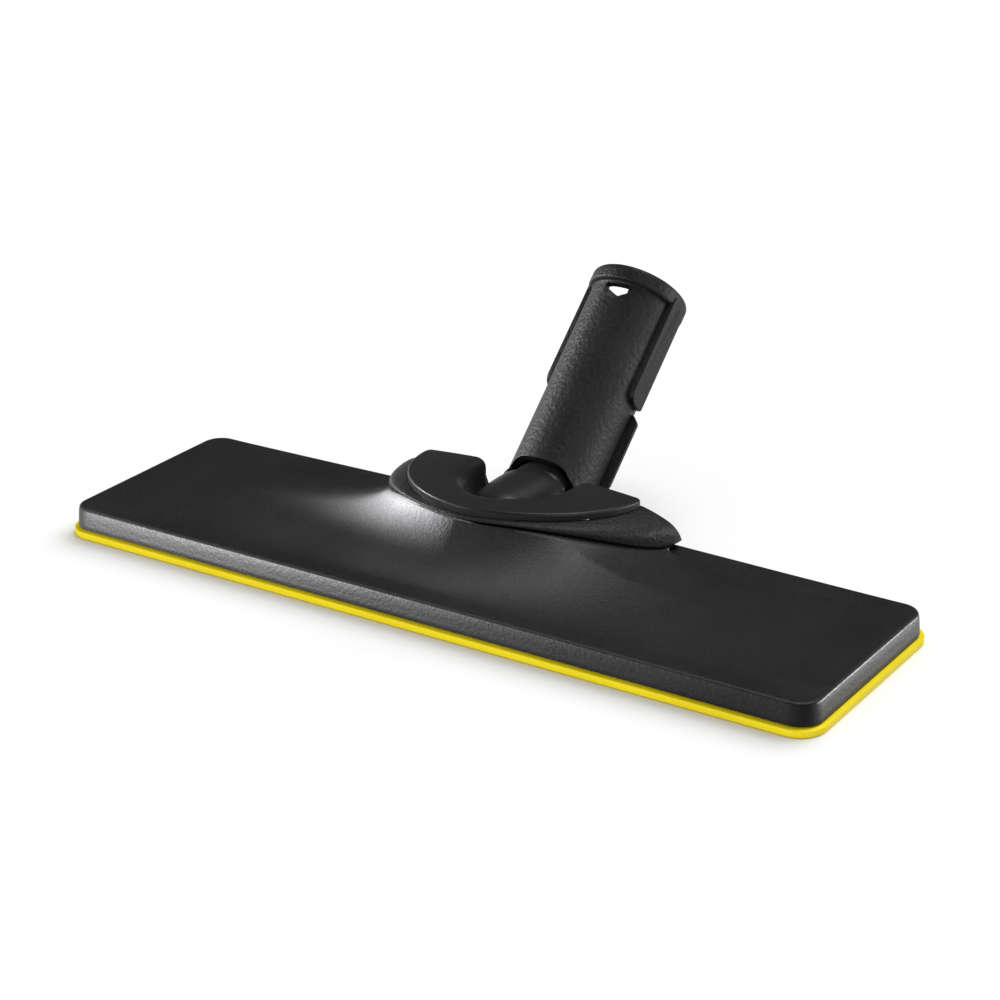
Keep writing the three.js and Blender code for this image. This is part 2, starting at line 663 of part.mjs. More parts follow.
function archOutline() {
  const corner = 5.5;
  const points = [[-EAR_INNER, -20]];
  const steps = 5;
  [-1, 1].forEach((side) => {
    for (let i = 0; i <= steps; i += 1) {
      const angle = (Math.PI / 2) * (side < 0 ? 2 - i / steps : 1 - i / steps);
      points.push([
        side * (EAR_INNER - corner) + corner * Math.cos(angle), ARCH_TOP - corner + corner * Math.sin(angle),
      ]);
    }
  });
  points.push([EAR_INNER, -20]);
  return points.reverse();
}

// Five-sided latch hole in the tube's front wall, point down: [x, distance under the mouth].
const LATCH_HOLE = [[-4.8, 7.6], [-5, 10.6], [0, 14.2], [5, 10.6], [4.8, 7.6]]
  .map(([x, under]) => [x, TUBE_TOP - under]);

function padOutline() {
  const front = -5.3;
  const back = 5;
  const round = 4.5;
  const foot = 41;
  return [
    [front, TUBE_TOP - 3], [front, foot + round], [front + round * 0.3, foot + round * 0.3],
    [front + round, foot], [back - 1.5, foot], [back, foot + 1.5], [back, TUBE_TOP - 3],
  ];
}

function finOutline(side) {
  const outline = [[15.4, 4.5], [17.6, 5.4], [FIN_EDGE, 9], [FIN_EDGE, 36], [17.6, 38.8], [15.4, 39.5]];
  return outline.map(([x, z]) => [side * x, z]);
}

function makeTube() {
  const bottom = FORK_TOP - 1;
  const profile = [
    [0, bottom], [TUBE_RADIUS, bottom], [TUBE_RADIUS, TUBE_TOP - COLLAR_HEIGHT - 0.6],
    [COLLAR_RADIUS - 0.8, TUBE_TOP - COLLAR_HEIGHT], [COLLAR_RADIUS, TUBE_TOP - COLLAR_HEIGHT + 1],
    [COLLAR_RADIUS, TUBE_TOP - 1.4], [COLLAR_RADIUS - 0.5, TUBE_TOP - 0.4], [COLLAR_RADIUS - 1.4, TUBE_TOP],
    [0, TUBE_TOP],
  ];
  const lathe = new THREE.LatheGeometry(profile.map(([r, z]) => new THREE.Vector2(r, z)), 48);
  lathe.rotateX(Math.PI / 2);
  const shank = toSolid(lathe);
  const ears = sidePrism(earOutline(), -30, 30);
  const fork = upright(0, 0, -EAR_RADIUS - 1, FORK_TOP, TUBE_RADIUS, 48).intersect(ears);
  const rails = [-1, 1].map((side) => join(
    sidePrism(padOutline(), Math.min(side * 15, side * PAD_FACE), Math.max(side * 15, side * PAD_FACE)),
    frontPrism(side > 0 ? finOutline(side) : finOutline(side).reverse(), 3.5, 5)));
  const between = block(-EAR_INNER, EAR_INNER, -30, 30, -30, FORK_TOP + 2);
  return cut(
    join(shank, fork, ...rails),
    upright(0, 0, FORK_TOP + 1.9, TUBE_TOP + 5, TUBE_BORE, 48),
    bar(new THREE.Vector3(0, 0, TUBE_TOP - 3 * LEAD_IN), new THREE.Vector3(0, 0, TUBE_TOP + 2 * LEAD_IN),
      TUBE_BORE - LEAD_IN / 2, 48, TUBE_BORE + 2 * LEAD_IN),
    upright(0, 0, -30, FORK_TOP + 2, TUBE_BORE, 48).intersect(between),
    frontPrism(archOutline(), -30, 0),
    block(-EAR_INNER, EAR_INNER, 0, 30, -30, BACK_EDGE),
    frontPrism(LATCH_HOLE, -30, -8),
    alongX(-30, 30, 0, 0, 5));
}

const WEB = [22, 25];               // disc that closes the socket's foot
const NIPPLE_TOP = 44;
const NIPPLE_RADIUS = 4.6;
const GROOVE = { radius: 3.8, half: 0.95 };
const ORING = { radius: 4.8, wire: 0.6 };
const ORING_HEIGHTS = [34, 39];

function makePipe() {
  const ball = [];
  const steps = 6;
  const bore = 2.4;
  const shank = 4;
  const low = Math.asin(bore / BALL_RADIUS);
  const high = Math.PI - Math.asin(shank / BALL_RADIUS);
  for (let i = 0; i <= steps; i += 1) {
    const angle = THREE.MathUtils.lerp(low, high, i / steps);
    ball.push([BALL_RADIUS * Math.sin(angle), -BALL_RADIUS * Math.cos(angle)]);
  }
  const grooves = ORING_HEIGHTS.flatMap((z) => [
    [NIPPLE_RADIUS, z - GROOVE.half], [GROOVE.radius, z - GROOVE.half],
    [GROOVE.radius, z + GROOVE.half], [NIPPLE_RADIUS, z + GROOVE.half],
  ]);
  const profile = [
    ...ball, [shank, WEB[0]], [TUBE_BORE - GAP, WEB[0]], [TUBE_BORE - GAP, WEB[1]], [NIPPLE_RADIUS, WEB[1]],
    ...grooves, [NIPPLE_RADIUS, NIPPLE_TOP - 1.5], [NIPPLE_RADIUS - 1, NIPPLE_TOP], [bore, NIPPLE_TOP], ball[0],
  ];
  const lathe = new THREE.LatheGeometry(profile.map(([r, z]) => new THREE.Vector2(r, z)), 20);
  lathe.rotateX(Math.PI / 2);
  return toSolid(lathe);
}

function makeOring(z) {
  const ring = new THREE.TorusGeometry(ORING.radius, ORING.wire, 6, 16);
  ring.translate(0, 0, z);
  return toSolid(ring);
}

// Small parts of the tilt pivot: where they lie along X on either side, and how wide they are.
const TILT_PIN = { inner: 7.3, shoulder: 17.3, outer: 18.2, headRadius: 5.6 };
const TILT_BUSH = { inner: 12.85, outer: 16.85, radius: 4.7 };
const FRICTION_WASHER = { inner: 11.95, outer: 12.4, radius: 6.6 };

function onSide(side, inner, outer) {
  return side < 0 ? [-outer, -inner] : [inner, outer];
}

function makeTiltPin(side) {
  const { inner, shoulder, outer, headRadius } = TILT_PIN;
  const shank = alongX(...onSide(side, inner, shoulder + 0.1), PIVOT.y, PIVOT.z, PIN_RADIUS);
  return join(shank, alongX(...onSide(side, shoulder, outer), PIVOT.y, PIVOT.z, headRadius));
}

function makePivotRing(side, ring) {
  return sideRing(PIN_RADIUS + GAP, ring.radius, ...onSide(side, ring.inner, ring.outer), 0, 0);
}

// ---------------------------------------------------------------- assembly

addNode(group, 'sole_plate', toGeometry(makeSole()), YELLOW, 0.5);
[['front', -1], ['rear', 1]].forEach(([place, side]) => {
  const pad = plate(stripOutline(PAD, side, 0, PAD.corner), 0, PAD.thickness);
  addNode(group, `hook_pad_${place}`, toGeometry(pad), HOOK, 0.95);
  addNode(group, `lamella_strip_${place}`, toGeometry(makeComb(side)), SEAL, 0.8);
});
addNode(group, 'distributor_gasket', toGeometry(makeGasket()), SEAL, 0.8);
addNode(group, 'steam_distributor', toGeometry(makeDistributor()), INNER, 0.6);
addNode(group, 'steam_elbow', toGeometry(makeElbow()), INNER, 0.5);
addNode(group, 'top_cover', toGeometry(makeCover()), BLACK, 0.6);
addNode(group, 'joint_housing', toGeometry(makeHousing()), BLACK, 0.65);
addNode(group, 'saddle_cap', toGeometry(makeCap()), SATIN, 0.4);
addNode(group, 'bearing_block', toGeometry(makeBearingBlock()), INNER, 0.55);
addNode(group, 'front_bush', toGeometry(
  lyingRing(JOURNAL_RADIUS + GAP, 7.3, FRONT_RING[0] + 0.1, FRONT_RING[1] - 0.1, PIVOT.z)), ACETAL, 0.45);
addNode(group, 'cradle_liner', toGeometry(makeLiner()), ACETAL, 0.45);
addNode(group, 'swivel_seal', toGeometry(lyingRing(3.85, 5.4, -10.4, -9.35, PIVOT.z)), SEAL, 0.7);
SCREWS.forEach((place, i) => {
  addNode(group, `cover_screw_${i + 1}`, toGeometry(makeScrew(place, COVER_SCREW)), STEEL, 0.35, 1);
});
BLOCK_SCREWS.forEach((place, i) => {
  addNode(group, `block_screw_${i + 1}`, toGeometry(makeScrew(place, BLOCK_SCREW)), STEEL, 0.35, 1);
});

addNode(group, 'swivel_knuckle', toGeometry(makeKnuckle()), SATIN, 0.4);
addNode(group, 'ball_seal', toGeometry(
  lyingRing(3.5, SEAT_RADIUS - GAP, PIVOT.y - 8.2, PIVOT.y - 6, PIVOT.z)), SEAL, 0.7);
addNode(group, 'swivel_clip', toGeometry(cut(
  lyingRing(JOURNAL_RADIUS - 0.35, 7.2, CLIP_GROOVE[0] + 0.15, CLIP_GROOVE[1] - 0.15, PIVOT.z),
  block(-1.6, 1.6, -20, 0, 0, PIVOT.z))), STEEL, 0.3, 1);
[['left', -1], ['right', 1]].forEach(([place, side]) => {
  addNode(group, `tilt_pin_${place}`, toGeometry(makeTiltPin(side)), STEEL, 0.35, 1);
});

const tubeFrame = new THREE.Group();
tubeFrame.position.copy(PIVOT);
tubeFrame.rotation.x = -TILT_REST;
group.add(tubeFrame);

addNode(tubeFrame, 'connector_tube', toGeometry(makeTube()), BLACK, 0.65);
addNode(tubeFrame, 'steam_pipe', toGeometry(makePipe()), INNER, 0.5);
ORING_HEIGHTS.forEach((z, i) => {
  addNode(tubeFrame, `pipe_oring_${i === 0 ? 'lower' : 'upper'}`, toGeometry(makeOring(z)), SEAL, 0.7);
});
[['left', -1], ['right', 1]].forEach(([place, side]) => {
  addNode(tubeFrame, `tilt_bush_${place}`, toGeometry(makePivotRing(side, TILT_BUSH)), ACETAL, 0.45);
  addNode(tubeFrame, `friction_washer_${place}`, toGeometry(makePivotRing(side, FRICTION_WASHER)), STEEL, 0.4, 1);
});

export default group;
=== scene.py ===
"""Visual model of a flat steam floor head with a rolling, tilting connector tube.

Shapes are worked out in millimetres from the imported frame's own boxes, mounts and joints,
and become metres only when a mesh is made. +X runs along the head, -Y is its front, +Z is up.
"""

import json
import math
import random

import bmesh
import bpy
import numpy as np
from mathutils import Matrix, Vector


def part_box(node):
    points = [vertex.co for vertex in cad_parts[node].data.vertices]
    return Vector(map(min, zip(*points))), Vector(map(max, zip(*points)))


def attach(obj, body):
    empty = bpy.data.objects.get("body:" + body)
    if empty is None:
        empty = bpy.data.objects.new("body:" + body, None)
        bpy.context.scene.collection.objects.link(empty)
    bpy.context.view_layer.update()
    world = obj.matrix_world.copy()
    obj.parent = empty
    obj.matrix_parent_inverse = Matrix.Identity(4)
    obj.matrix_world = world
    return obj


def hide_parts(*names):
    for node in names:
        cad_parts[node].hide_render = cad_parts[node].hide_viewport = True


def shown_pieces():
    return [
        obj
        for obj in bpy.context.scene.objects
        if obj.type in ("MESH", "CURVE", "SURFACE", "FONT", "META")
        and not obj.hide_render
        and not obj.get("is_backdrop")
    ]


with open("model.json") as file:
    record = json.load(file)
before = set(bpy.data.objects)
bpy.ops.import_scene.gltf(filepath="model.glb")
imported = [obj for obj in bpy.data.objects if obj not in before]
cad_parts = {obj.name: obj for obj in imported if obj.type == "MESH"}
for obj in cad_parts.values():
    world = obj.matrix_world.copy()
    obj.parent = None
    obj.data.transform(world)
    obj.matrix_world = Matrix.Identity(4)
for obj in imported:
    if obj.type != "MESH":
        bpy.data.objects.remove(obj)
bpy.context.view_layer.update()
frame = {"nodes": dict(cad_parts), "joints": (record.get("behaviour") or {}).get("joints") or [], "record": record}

MM = 0.001                         # shapes are in millimetres, Blender is in metres
SEED = 7                           # for the hooks' small irregularities

# ------------------------------------------------------------------ driving sizes, from the frame


def box_mm(node):
    low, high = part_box(node)
    return low / MM, high / MM


def mount(name):
    return next(m for m in frame["record"]["mounts"] if m["name"] == name)


SOLE_HIGH = box_mm("sole_plate")[1]
HALF_LENGTH = SOLE_HIGH.x
HALF_WIDTH = SOLE_HIGH.y
CORNER = 10.0                      # plan corner radius
SOLE_TOP = 2.5                     # thickness of the yellow rim
RIM_TOP = 11.0
BACK_RISE = 2.0                    # how much the rim climbs at the middle of the back
WALL = 2.4                         # thickness of the casings
CENTRE_Y = 12.0                    # plan centre that the lofts are drawn from

HOUSING_HIGH = box_mm("joint_housing")[1]
CAP_HIGH = box_mm("saddle_cap")[1]
HOUSING = dict(half_x=HOUSING_HIGH.x, widest=41.0, depth=53.0, power=1.75, back=HOUSING_HIGH.y)
CAP = dict(half_x=CAP_HIGH.x, widest=35.0, depth=45.5, power=1.78, back=CAP_HIGH.y)
HOUSING_FRONT_Z = 28.5             # height of the housing's foot at the front
HOUSING_END_Z = 13.0               # and at its two ends
HOUSING_LINE = 0.9                 # open joint line under the housing
CAP_EDGE = 2.6                     # height of the cap's own edge
POCKET = dict(half_x=19.5, front=2.0, widest=30.0)
REAR_CUT_HALF = 26.0               # half width of the opening behind the joint
POCKET_FLOOR = 4.5

PIVOT = np.array(frame["joints"][0]["pos_m"]) / MM
MOUTH_AXIS = np.array(mount("tube_mouth")["axis"])
LEAN = math.atan2(MOUTH_AXIS[1], MOUTH_AXIS[2])
TUBE_TOP = float((np.array(mount("tube_mouth")["pos_m"]) / MM - PIVOT) @ MOUTH_AXIS)
TUBE_RADIUS = 17.0
TUBE_BORE = 14.2
COLLAR_RADIUS = 19.0
COLLAR_HEIGHT = 5.8
LEAD_IN = 1.4                      # widening of the bore at the mouth
EAR_RADIUS = 7.5                   # foot of the tube's two ears, round the pins
EAR_INNER = 12.75                  # inner face of the ears
ARCH_TOP = 5.4                     # top of the front arch between them
BACK_EDGE = 7.0                    # lower edge of the tube at the back
FORK_TOP = 16.0                    # where the ears join the round tube
PAD_FACE = 18.9                    # outer face of the side pads
FIN_EDGE = box_mm("connector_tube")[1].x
HEAD_HALF = 11.6                   # half width of the knuckle between the ears
SEAT_RADIUS = 6.9                  # bore that holds the steam pipe's ball
BALL_RADIUS = 6.5
PIN_RADIUS = 3.4
JOURNAL_RADIUS = 5.5
DUCT_RADIUS = 3.9                  # steam way through the knuckle
CLEARANCE = 0.3                    # between pieces that fit into each other

# ------------------------------------------------------------------ camera

CAMERA_AZIMUTH = math.radians(33.613)
CAMERA_ELEVATION = math.radians(22.845)
CAMERA_ROLL = math.radians(-0.787)
CAMERA_DISTANCE = 0.887295
CAMERA_ASIDE = 0.008085
CAMERA_ABOVE = 0.029239
CAMERA_LENS = 90.09                # millimetres, on a sensor 36 mm wide
SENSOR_WIDTH = 36


def make_camera():
    back = Vector((
        math.sin(CAMERA_AZIMUTH) * math.cos(CAMERA_ELEVATION),
        -math.cos(CAMERA_AZIMUTH) * math.cos(CAMERA_ELEVATION),
        math.sin(CAMERA_ELEVATION)))
    level = Vector((math.cos(CAMERA_AZIMUTH), math.sin(CAMERA_AZIMUTH), 0))
    above = back.cross(level)
    right = level * math.cos(CAMERA_ROLL) + above * math.sin(CAMERA_ROLL)
    up = -level * math.sin(CAMERA_ROLL) + above * math.cos(CAMERA_ROLL)
    data = bpy.data.cameras.new("camera")
    data.lens = CAMERA_LENS
    data.sensor_width = SENSOR_WIDTH
    data.clip_start = 0.01
    data.clip_end = 50
    camera = bpy.data.objects.new("camera", data)
    bpy.context.scene.collection.objects.link(camera)
    place = back * CAMERA_DISTANCE + right * CAMERA_ASIDE + up * CAMERA_ABOVE
    camera.matrix_world = Matrix((
        (right.x, up.x, back.x, place.x),
        (right.y, up.y, back.y, place.y),
        (right.z, up.z, back.z, place.z),
        (0, 0, 0, 1)))
    bpy.context.scene.camera = camera


make_camera()

# ------------------------------------------------------------------ materials


class Nodes:
    """Small helper that builds a material's node tree."""

    def __init__(self, name):
        self.material = bpy.data.materials.new(name)
        self.material.use_nodes = True
        self.tree = self.material.node_tree
        self.shader = self.tree.nodes["Principled BSDF"]
        self.place = self.add("ShaderNodeTexCoord").outputs["Object"]

    def add(self, kind, **values):
        node = self.tree.nodes.new(kind)
        for key, value in values.items():
            setattr(node, key, value)
        return node

    def link(self, start, end):
        self.tree.links.new(start, end)

    def noise(self, scale, detail=2.0, roughness=0.5, stretch=None):
        node = self.add("ShaderNodeTexNoise")
        node.inputs["Scale"].default_value = scale
        node.inputs["Detail"].default_value = detail
        node.inputs["Roughness"].default_value = roughness
        place = self.place
        if stretch:
            mapping = self.add("ShaderNodeMapping")
            mapping.inputs["Scale"].default_value = stretch
            self.link(self.place, mapping.inputs["Vector"])
            place = mapping.outputs["Vector"]
        self.link(place, node.inputs["Vector"])
        return node.outputs["Fac"]

    def spread(self, value, low, high, from_low=0.0, from_high=1.0):
        node = self.add("ShaderNodeMapRange")
        limits = {"From Min": from_low, "From Max": from_high, "To Min": low, "To Max": high}
        for key, number in limits.items():
            node.inputs[key].default_value = number
        self.link(value, node.inputs["Value"])
        return node.outputs["Result"]

    def mix(self, factor, first, second):
        """Blend of two colours, each a tuple or another node's output."""
        node = self.add("ShaderNodeMix", data_type="RGBA")
        self.link(factor, node.inputs["Factor"])
        for key, colour in (("A", first), ("B", second)):
            sockets = [s for s in node.inputs if s.name == key and s.type == "RGBA"]
            if isinstance(colour, tuple):
                sockets[0].default_value = (*colour, 1)
            else:
                self.link(colour, sockets[0])
        return next(s for s in node.outputs if s.type == "RGBA")

    def bump(self, height, strength, distance, normal=None):
        node = self.add("ShaderNodeBump")
        node.inputs["Strength"].default_value = strength
        node.inputs["Distance"].default_value = distance
        self.link(height, node.inputs["Height"])
        if normal is not None:
            self.link(normal, node.inputs["Normal"])
        return node.outputs["Normal"]

    def sockets(self, **values):
        names = dict(roughness="Roughness", metallic="Metallic", specular="Specular IOR Level")
        for key, value in values.items():
            self.shader.inputs[names[key]].default_value = value


def moulded(name, dark, light, rough, grain_scale, grain_depth, specular=0.25, speckle=0.3):
    """Moulded plastic: spark-eroded grain, slight mottling and faint handling marks."""
    n = Nodes(name)
    clouds = n.noise(28, 3)
    grain = n.noise(grain_scale, 3, 0.6)
    pits = n.add("ShaderNodeTexVoronoi", feature="SMOOTH_F1")
    pits.inputs["Scale"].default_value = grain_scale * 0.6
    n.link(n.place, pits.inputs["Vector"])
    tone = n.mix(n.spread(clouds, 0, 1, 0.35, 0.65), dark, light)
    bright = tuple(2.2 * c if max(light) < 0.2 else min(1.0, 1.05 * c) for c in light)
    n.link(n.mix(n.spread(grain, 0, speckle, 0.42, 0.72), tone, bright), n.shader.inputs["Base Color"])
    smears = n.noise(90, 4, 0.7, stretch=(1, 0.3, 1))
    worn = n.spread(smears, -0.03, 0.03, 0.35, 0.65)
    rougher = n.add("ShaderNodeMath", operation="ADD")
    n.link(n.spread(grain, rough - 0.05, rough + 0.08, 0.3, 0.7), rougher.inputs[0])
    n.link(worn, rougher.inputs[1])
    n.link(rougher.outputs["Value"], n.shader.inputs["Roughness"])
    normal = n.bump(grain, grain_depth, 0.00022)
    normal = n.bump(pits.outputs["Distance"], grain_depth * 0.7, 0.0003, normal)
    n.link(normal, n.shader.inputs["Normal"])
    n.sockets(specular=specular)
    return n.material


# Each row: darker tone, lighter tone, roughness, grain scale, grain depth, and where they
# differ from the usual, specular level and share of bright specks.
black_cover = moulded("cover_plastic", (0.0060, 0.0060, 0.0062), (0.0085, 0.0085, 0.0087),
                      0.42, 1500, 0.30, 0.13)
black_grain = moulded("eroded_plastic", (0.0062, 0.0062, 0.0064), (0.0095, 0.0095, 0.0097),
                      0.47, 1150, 0.95, 0.16)
black_satin = moulded("satin_plastic", (0.0085, 0.0085, 0.0088), (0.0102, 0.0102, 0.0105),
                      0.38, 2200, 0.10, 0.18)
yellow_plastic = moulded("yellow_plastic", (0.87, 0.70, 0.006), (0.92, 0.75, 0.010),
                         0.42, 1800, 0.10)
grey_plastic = moulded("inner_plastic", (0.24, 0.245, 0.25), (0.30, 0.305, 0.31),
                       0.45, 1500, 0.15, 0.4, 0.1)
acetal = moulded("acetal", (0.72, 0.71, 0.67), (0.80, 0.79, 0.75), 0.36, 1500, 0.08, 0.4)
rubber = moulded("soft_rubber", (0.020, 0.020, 0.020), (0.030, 0.030, 0.030), 0.72, 1700, 0.3)
hook_tape = moulded("hook_tape", (0.16, 0.165, 0.17), (0.24, 0.245, 0.25),
                    0.6, 1700, 0.3, 0.4, 0.1)


def brushed_steel():
    n = Nodes("plated_steel")
    streaks = n.noise(900, 3, 0.6, stretch=(1, 1, 0.1))
    spots = n.noise(160, 2)
    n.link(n.mix(n.spread(spots, 0, 1, 0.3, 0.7), (0.55, 0.55, 0.56), (0.66, 0.66, 0.67)),
           n.shader.inputs["Base Color"])
    n.link(n.spread(streaks, 0.24, 0.42, 0.3, 0.7), n.shader.inputs["Roughness"])
    n.link(n.bump(streaks, 0.15, 0.00008), n.shader.inputs["Normal"])
    n.sockets(metallic=1.0)
    return n.material


steel = brushed_steel()

# One material per slot of the record.
MATERIALS = dict(yellow_plastic=yellow_plastic, black_textured=black_grain, black_satin=black_satin,
                 inner_plastic=grey_plastic, bearing_plastic=acetal, hook_strip=hook_tape,
                 soft_rubber=rubber, steel=steel)

# ------------------------------------------------------------------ mesh helpers


def make_object(name, vertices, faces):
    """An object from millimetre points."""
    mesh = bpy.data.meshes.new(name)
    mesh.from_pydata((np.asarray(vertices, float) * MM).tolist(), [], [tuple(f) for f in faces])
    mesh.validate()
    piece = bpy.data.objects.new(name, mesh)
    bpy.context.scene.collection.objects.link(piece)
    return piece


def tidy_mesh(piece):
    bm = bmesh.new()
    bm.from_mesh(piece.data)
    bmesh.ops.recalc_face_normals(bm, faces=bm.faces)
    bm.to_mesh(piece.data)
    bm.free()
    return piece


def shade(piece, sharp=35):
    piece.data.shade_smooth()
    piece.data.set_sharp_from_angle(angle=math.radians(sharp))
    return piece


def settle(piece):
    """Applies the piece's modifiers to its mesh."""
    bpy.context.view_layer.update()
    shape = piece.evaluated_get(bpy.context.evaluated_depsgraph_get())
    mesh = bpy.data.meshes.new_from_object(shape)
    piece.modifiers.clear()
    old = piece.data
    piece.data = mesh
    bpy.data.meshes.remove(old)
    return piece


def combine(piece, tool, operation):
    modifier = piece.modifiers.new("cut", "BOOLEAN")
    modifier.operation = operation
    modifier.solver = "EXACT"
    modifier.object = tool
    settle(piece)
    bpy.data.objects.remove(tool)
    return piece


def carve(piece, *tools):
    for tool in tools:
        combine(piece, tool, "DIFFERENCE")
    return piece


def fuse(piece, *tools):
    for tool in tools:
        combine(piece, tool, "UNION")
    return piece


def finish_piece(piece, body, slot, material=None, nodes=(), sharp=35):
    shade(piece, sharp)
    piece.data.materials.clear()
    piece.data.materials.append(material or MATERIALS[slot])
    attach(piece, body)
    if nodes:
        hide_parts(*nodes)
    return piece


def loft(name, loops, ring=False):
    """Surface through loops of equal count: joined into a ring, or closed by flat ends."""
    loops = [np.asarray(loop, float) for loop in loops]
    count = len(loops[0])
    vertices = np.concatenate(loops)
    around = np.arange(count)
    onward = (around + 1) % count
    faces = []
    last = len(loops) if ring else len(loops) - 1
    for k in range(last):
        here = k * count
        there = ((k + 1) % len(loops)) * count
        faces += np.stack([here + around, here + onward, there + onward, there + around], 1).tolist()
    if not ring:
        faces.append(list(range(count))[::-1])
        faces.append(list(range((len(loops) - 1) * count, len(loops) * count)))
    return tidy_mesh(make_object(name, vertices, faces))


def smooth_line(points, count):
    """Points spread evenly along a smooth curve through a few given ones."""
    points = np.asarray(points, float)
    steps = np.linalg.norm(np.diff(points, axis=0), axis=1)
    at = np.concatenate([[0], np.cumsum(steps)])
    tangents = np.gradient(points, at, axis=0, edge_order=1)
    where = np.linspace(0, at[-1], count)
    k = np.clip(np.searchsorted(at, where, side="right") - 1, 0, len(at) - 2)
    span = (at[k + 1] - at[k])[:, None]
    t = ((where - at[k]) / (at[k + 1] - at[k]))[:, None]
    return ((2 * t**3 - 3 * t**2 + 1) * points[k] + (t**3 - 2 * t**2 + t) * span * tangents[k]
            + (3 * t**2 - 2 * t**3) * points[k + 1] + (t**3 - t**2) * span * tangents[k + 1])


def arc(cx, cy, radius, start, end, steps):
    angles = np.radians(np.linspace(start, end, steps + 1))
    return np.stack([cx + radius * np.cos(angles), cy + radius * np.sin(angles)], 1)


def rounded_outline(corners, steps=8):
    """Closed outline through (x, y, fillet radius) corners, going anticlockwise."""
    points = []
    count = len(corners)
    for i in range(count):
        here = np.array(corners[i][:2], float)
        radius = corners[i][2]
        before = np.array(corners[i - 1][:2], float) - here
        after = np.array(corners[(i + 1) % count][:2], float) - here
        u = before / np.linalg.norm(before)
        v = after / np.linalg.norm(after)
        half = math.acos(max(-1.0, min(1.0, float(u @ v)))) / 2
        if radius <= 0 or abs(half - math.pi / 2) < 1e-4:
            points.append(here)
            continue
        reach_along = radius / math.tan(half)
        middle = here + (u + v) / np.linalg.norm(u + v) * radius / math.sin(half)
        first = here + u * reach_along - middle
        last = here + v * reach_along - middle
        a0 = math.atan2(first[1], first[0])
        turn = math.atan2(last[1], last[0]) - a0
        turn = (turn + math.pi) % (2 * math.pi) - math.pi
        for k in range(steps + 1):
            angle = a0 + turn * k / steps
            points.append(middle + radius * np.array([math.cos(angle), math.sin(angle)]))
    return np.array(points)


def resample(points, spacing):
    """Adds points along the long edges of a closed outline."""
    dense = []
    for start, end in zip(points, np.roll(points, -1, axis=0)):
        pieces = max(1, int(round(np.linalg.norm(end - start) / spacing)))
        for k in range(pieces):
            dense.append(start + (end - start) * k / pieces)
    return np.array(dense)


def inset_outline(points, distance):
    """Moves a closed anticlockwise outline inwards along its own normals."""
    before = points - np.roll(points, 1, axis=0)
    after = np.roll(points, -1, axis=0) - points
    before /= np.maximum(np.linalg.norm(before, axis=1, keepdims=True), 1e-9)
    after /= np.maximum(np.linalg.norm(after, axis=1, keepdims=True), 1e-9)
    tangent = before + after
    tangent /= np.maximum(np.linalg.norm(tangent, axis=1, keepdims=True), 1e-9)
    normal = np.stack([-tangent[:, 1], tangent[:, 0]], 1)
    miter = np.clip((before * tangent).sum(1, keepdims=True), 0.5, 1)
    return points + normal * distance / miter


def at_height(points, z):
    z = np.broadcast_to(z, (len(points),))
    return np.column_stack([points, z])


def edge_profile(low, high, radius_low, radius_high, steps=4):
    """(inset, height) pairs of an upright edge with rounded foot and head."""
    foot = [(radius_low - radius_low * math.cos(a), low + radius_low - radius_low * math.sin(a))
            for a in np.linspace(math.pi / 2, 0, steps + 1)] if radius_low else [(0, low)]
    head = [(radius_high - radius_high * math.cos(a), high - radius_high + radius_high * math.sin(a))
            for a in np.linspace(0, math.pi / 2, steps + 1)] if radius_high else [(0, high)]
    return foot + head


def plate(name, outline, low, high, radius_low=0.0, radius_high=0.0, steps=4):
    """Upright prism over an outline, with rounded lower and upper edges."""
    loops = [at_height(inset_outline(outline, inset), z)
             for inset, z in edge_profile(low, high, radius_low, radius_high, steps)]
    return loft(name, loops)


def turned(name, profile, sides=96, hole=True):
    """Body of revolution about Z from (radius, height) pairs, closed on itself or on the axis."""
    angles = np.linspace(0, 2 * math.pi, sides, endpoint=False)
    loops = [np.column_stack([r * np.cos(angles), r * np.sin(angles), np.full(sides, z)]) for r, z in profile]
    return loft(name, loops, ring=hole)


def ring_profile(inner, outer, low, high, radius, steps=3):
    """Closed (radius, height) section of a ring with rounded edges."""
    points = []
    for cx, cz, start in ((outer - radius, low + radius, -90), (outer - radius, high - radius, 0),
                          (inner + radius, high - radius, 90), (inner + radius, low + radius, 180)):
        points += arc(cx, cz, radius, start, start + 90, steps).tolist()
    return points


TO_TUBE = Matrix.Translation(Vector(PIVOT) * MM) @ Matrix.Rotation(-LEAN, 4, "X")
Z_TO_X = Matrix.Rotation(math.pi / 2, 4, "Y")
Z_TO_Y = Matrix.Rotation(-math.pi / 2, 4, "X")


def move(piece, matrix):
    piece.data.transform(matrix)
    piece.data.update()
    return piece


def shift(x, y, z):
    return Matrix.Translation(Vector((x, y, z)) * MM)


def side_plate(name, outline, x0, x1, rounding=0.0):
    """Prism along X over an outline of (y, z) pairs."""
    piece = plate(name, outline, x0, x1, rounding, rounding)
    turn = Matrix(((0, 0, 1, 0), (1, 0, 0, 0), (0, 1, 0, 0), (0, 0, 0, 1)))
    return move(piece, turn)


def front_plate(name, outline, y0, y1, rounding=0.0):
    """Prism along Y over an outline of (x, z) pairs."""
    piece = plate(name, outline, -y1, -y0, rounding, rounding)
    turn = Matrix(((1, 0, 0, 0), (0, 0, -1, 0), (0, 1, 0, 0), (0, 0, 0, 1)))
    return move(piece, turn)


def block(name, x0, x1, y0, y1, z0, z1):
    outline = np.array([[x0, y0], [x1, y0], [x1, y1], [x0, y1]], float)
    return plate(name, outline, z0, z1)


def cylinder(name, x, y, z0, z1, radius, sides=48):
    return move(turned(name, [(radius, z0), (radius, z1)], sides, hole=False), shift(x, y, 0))


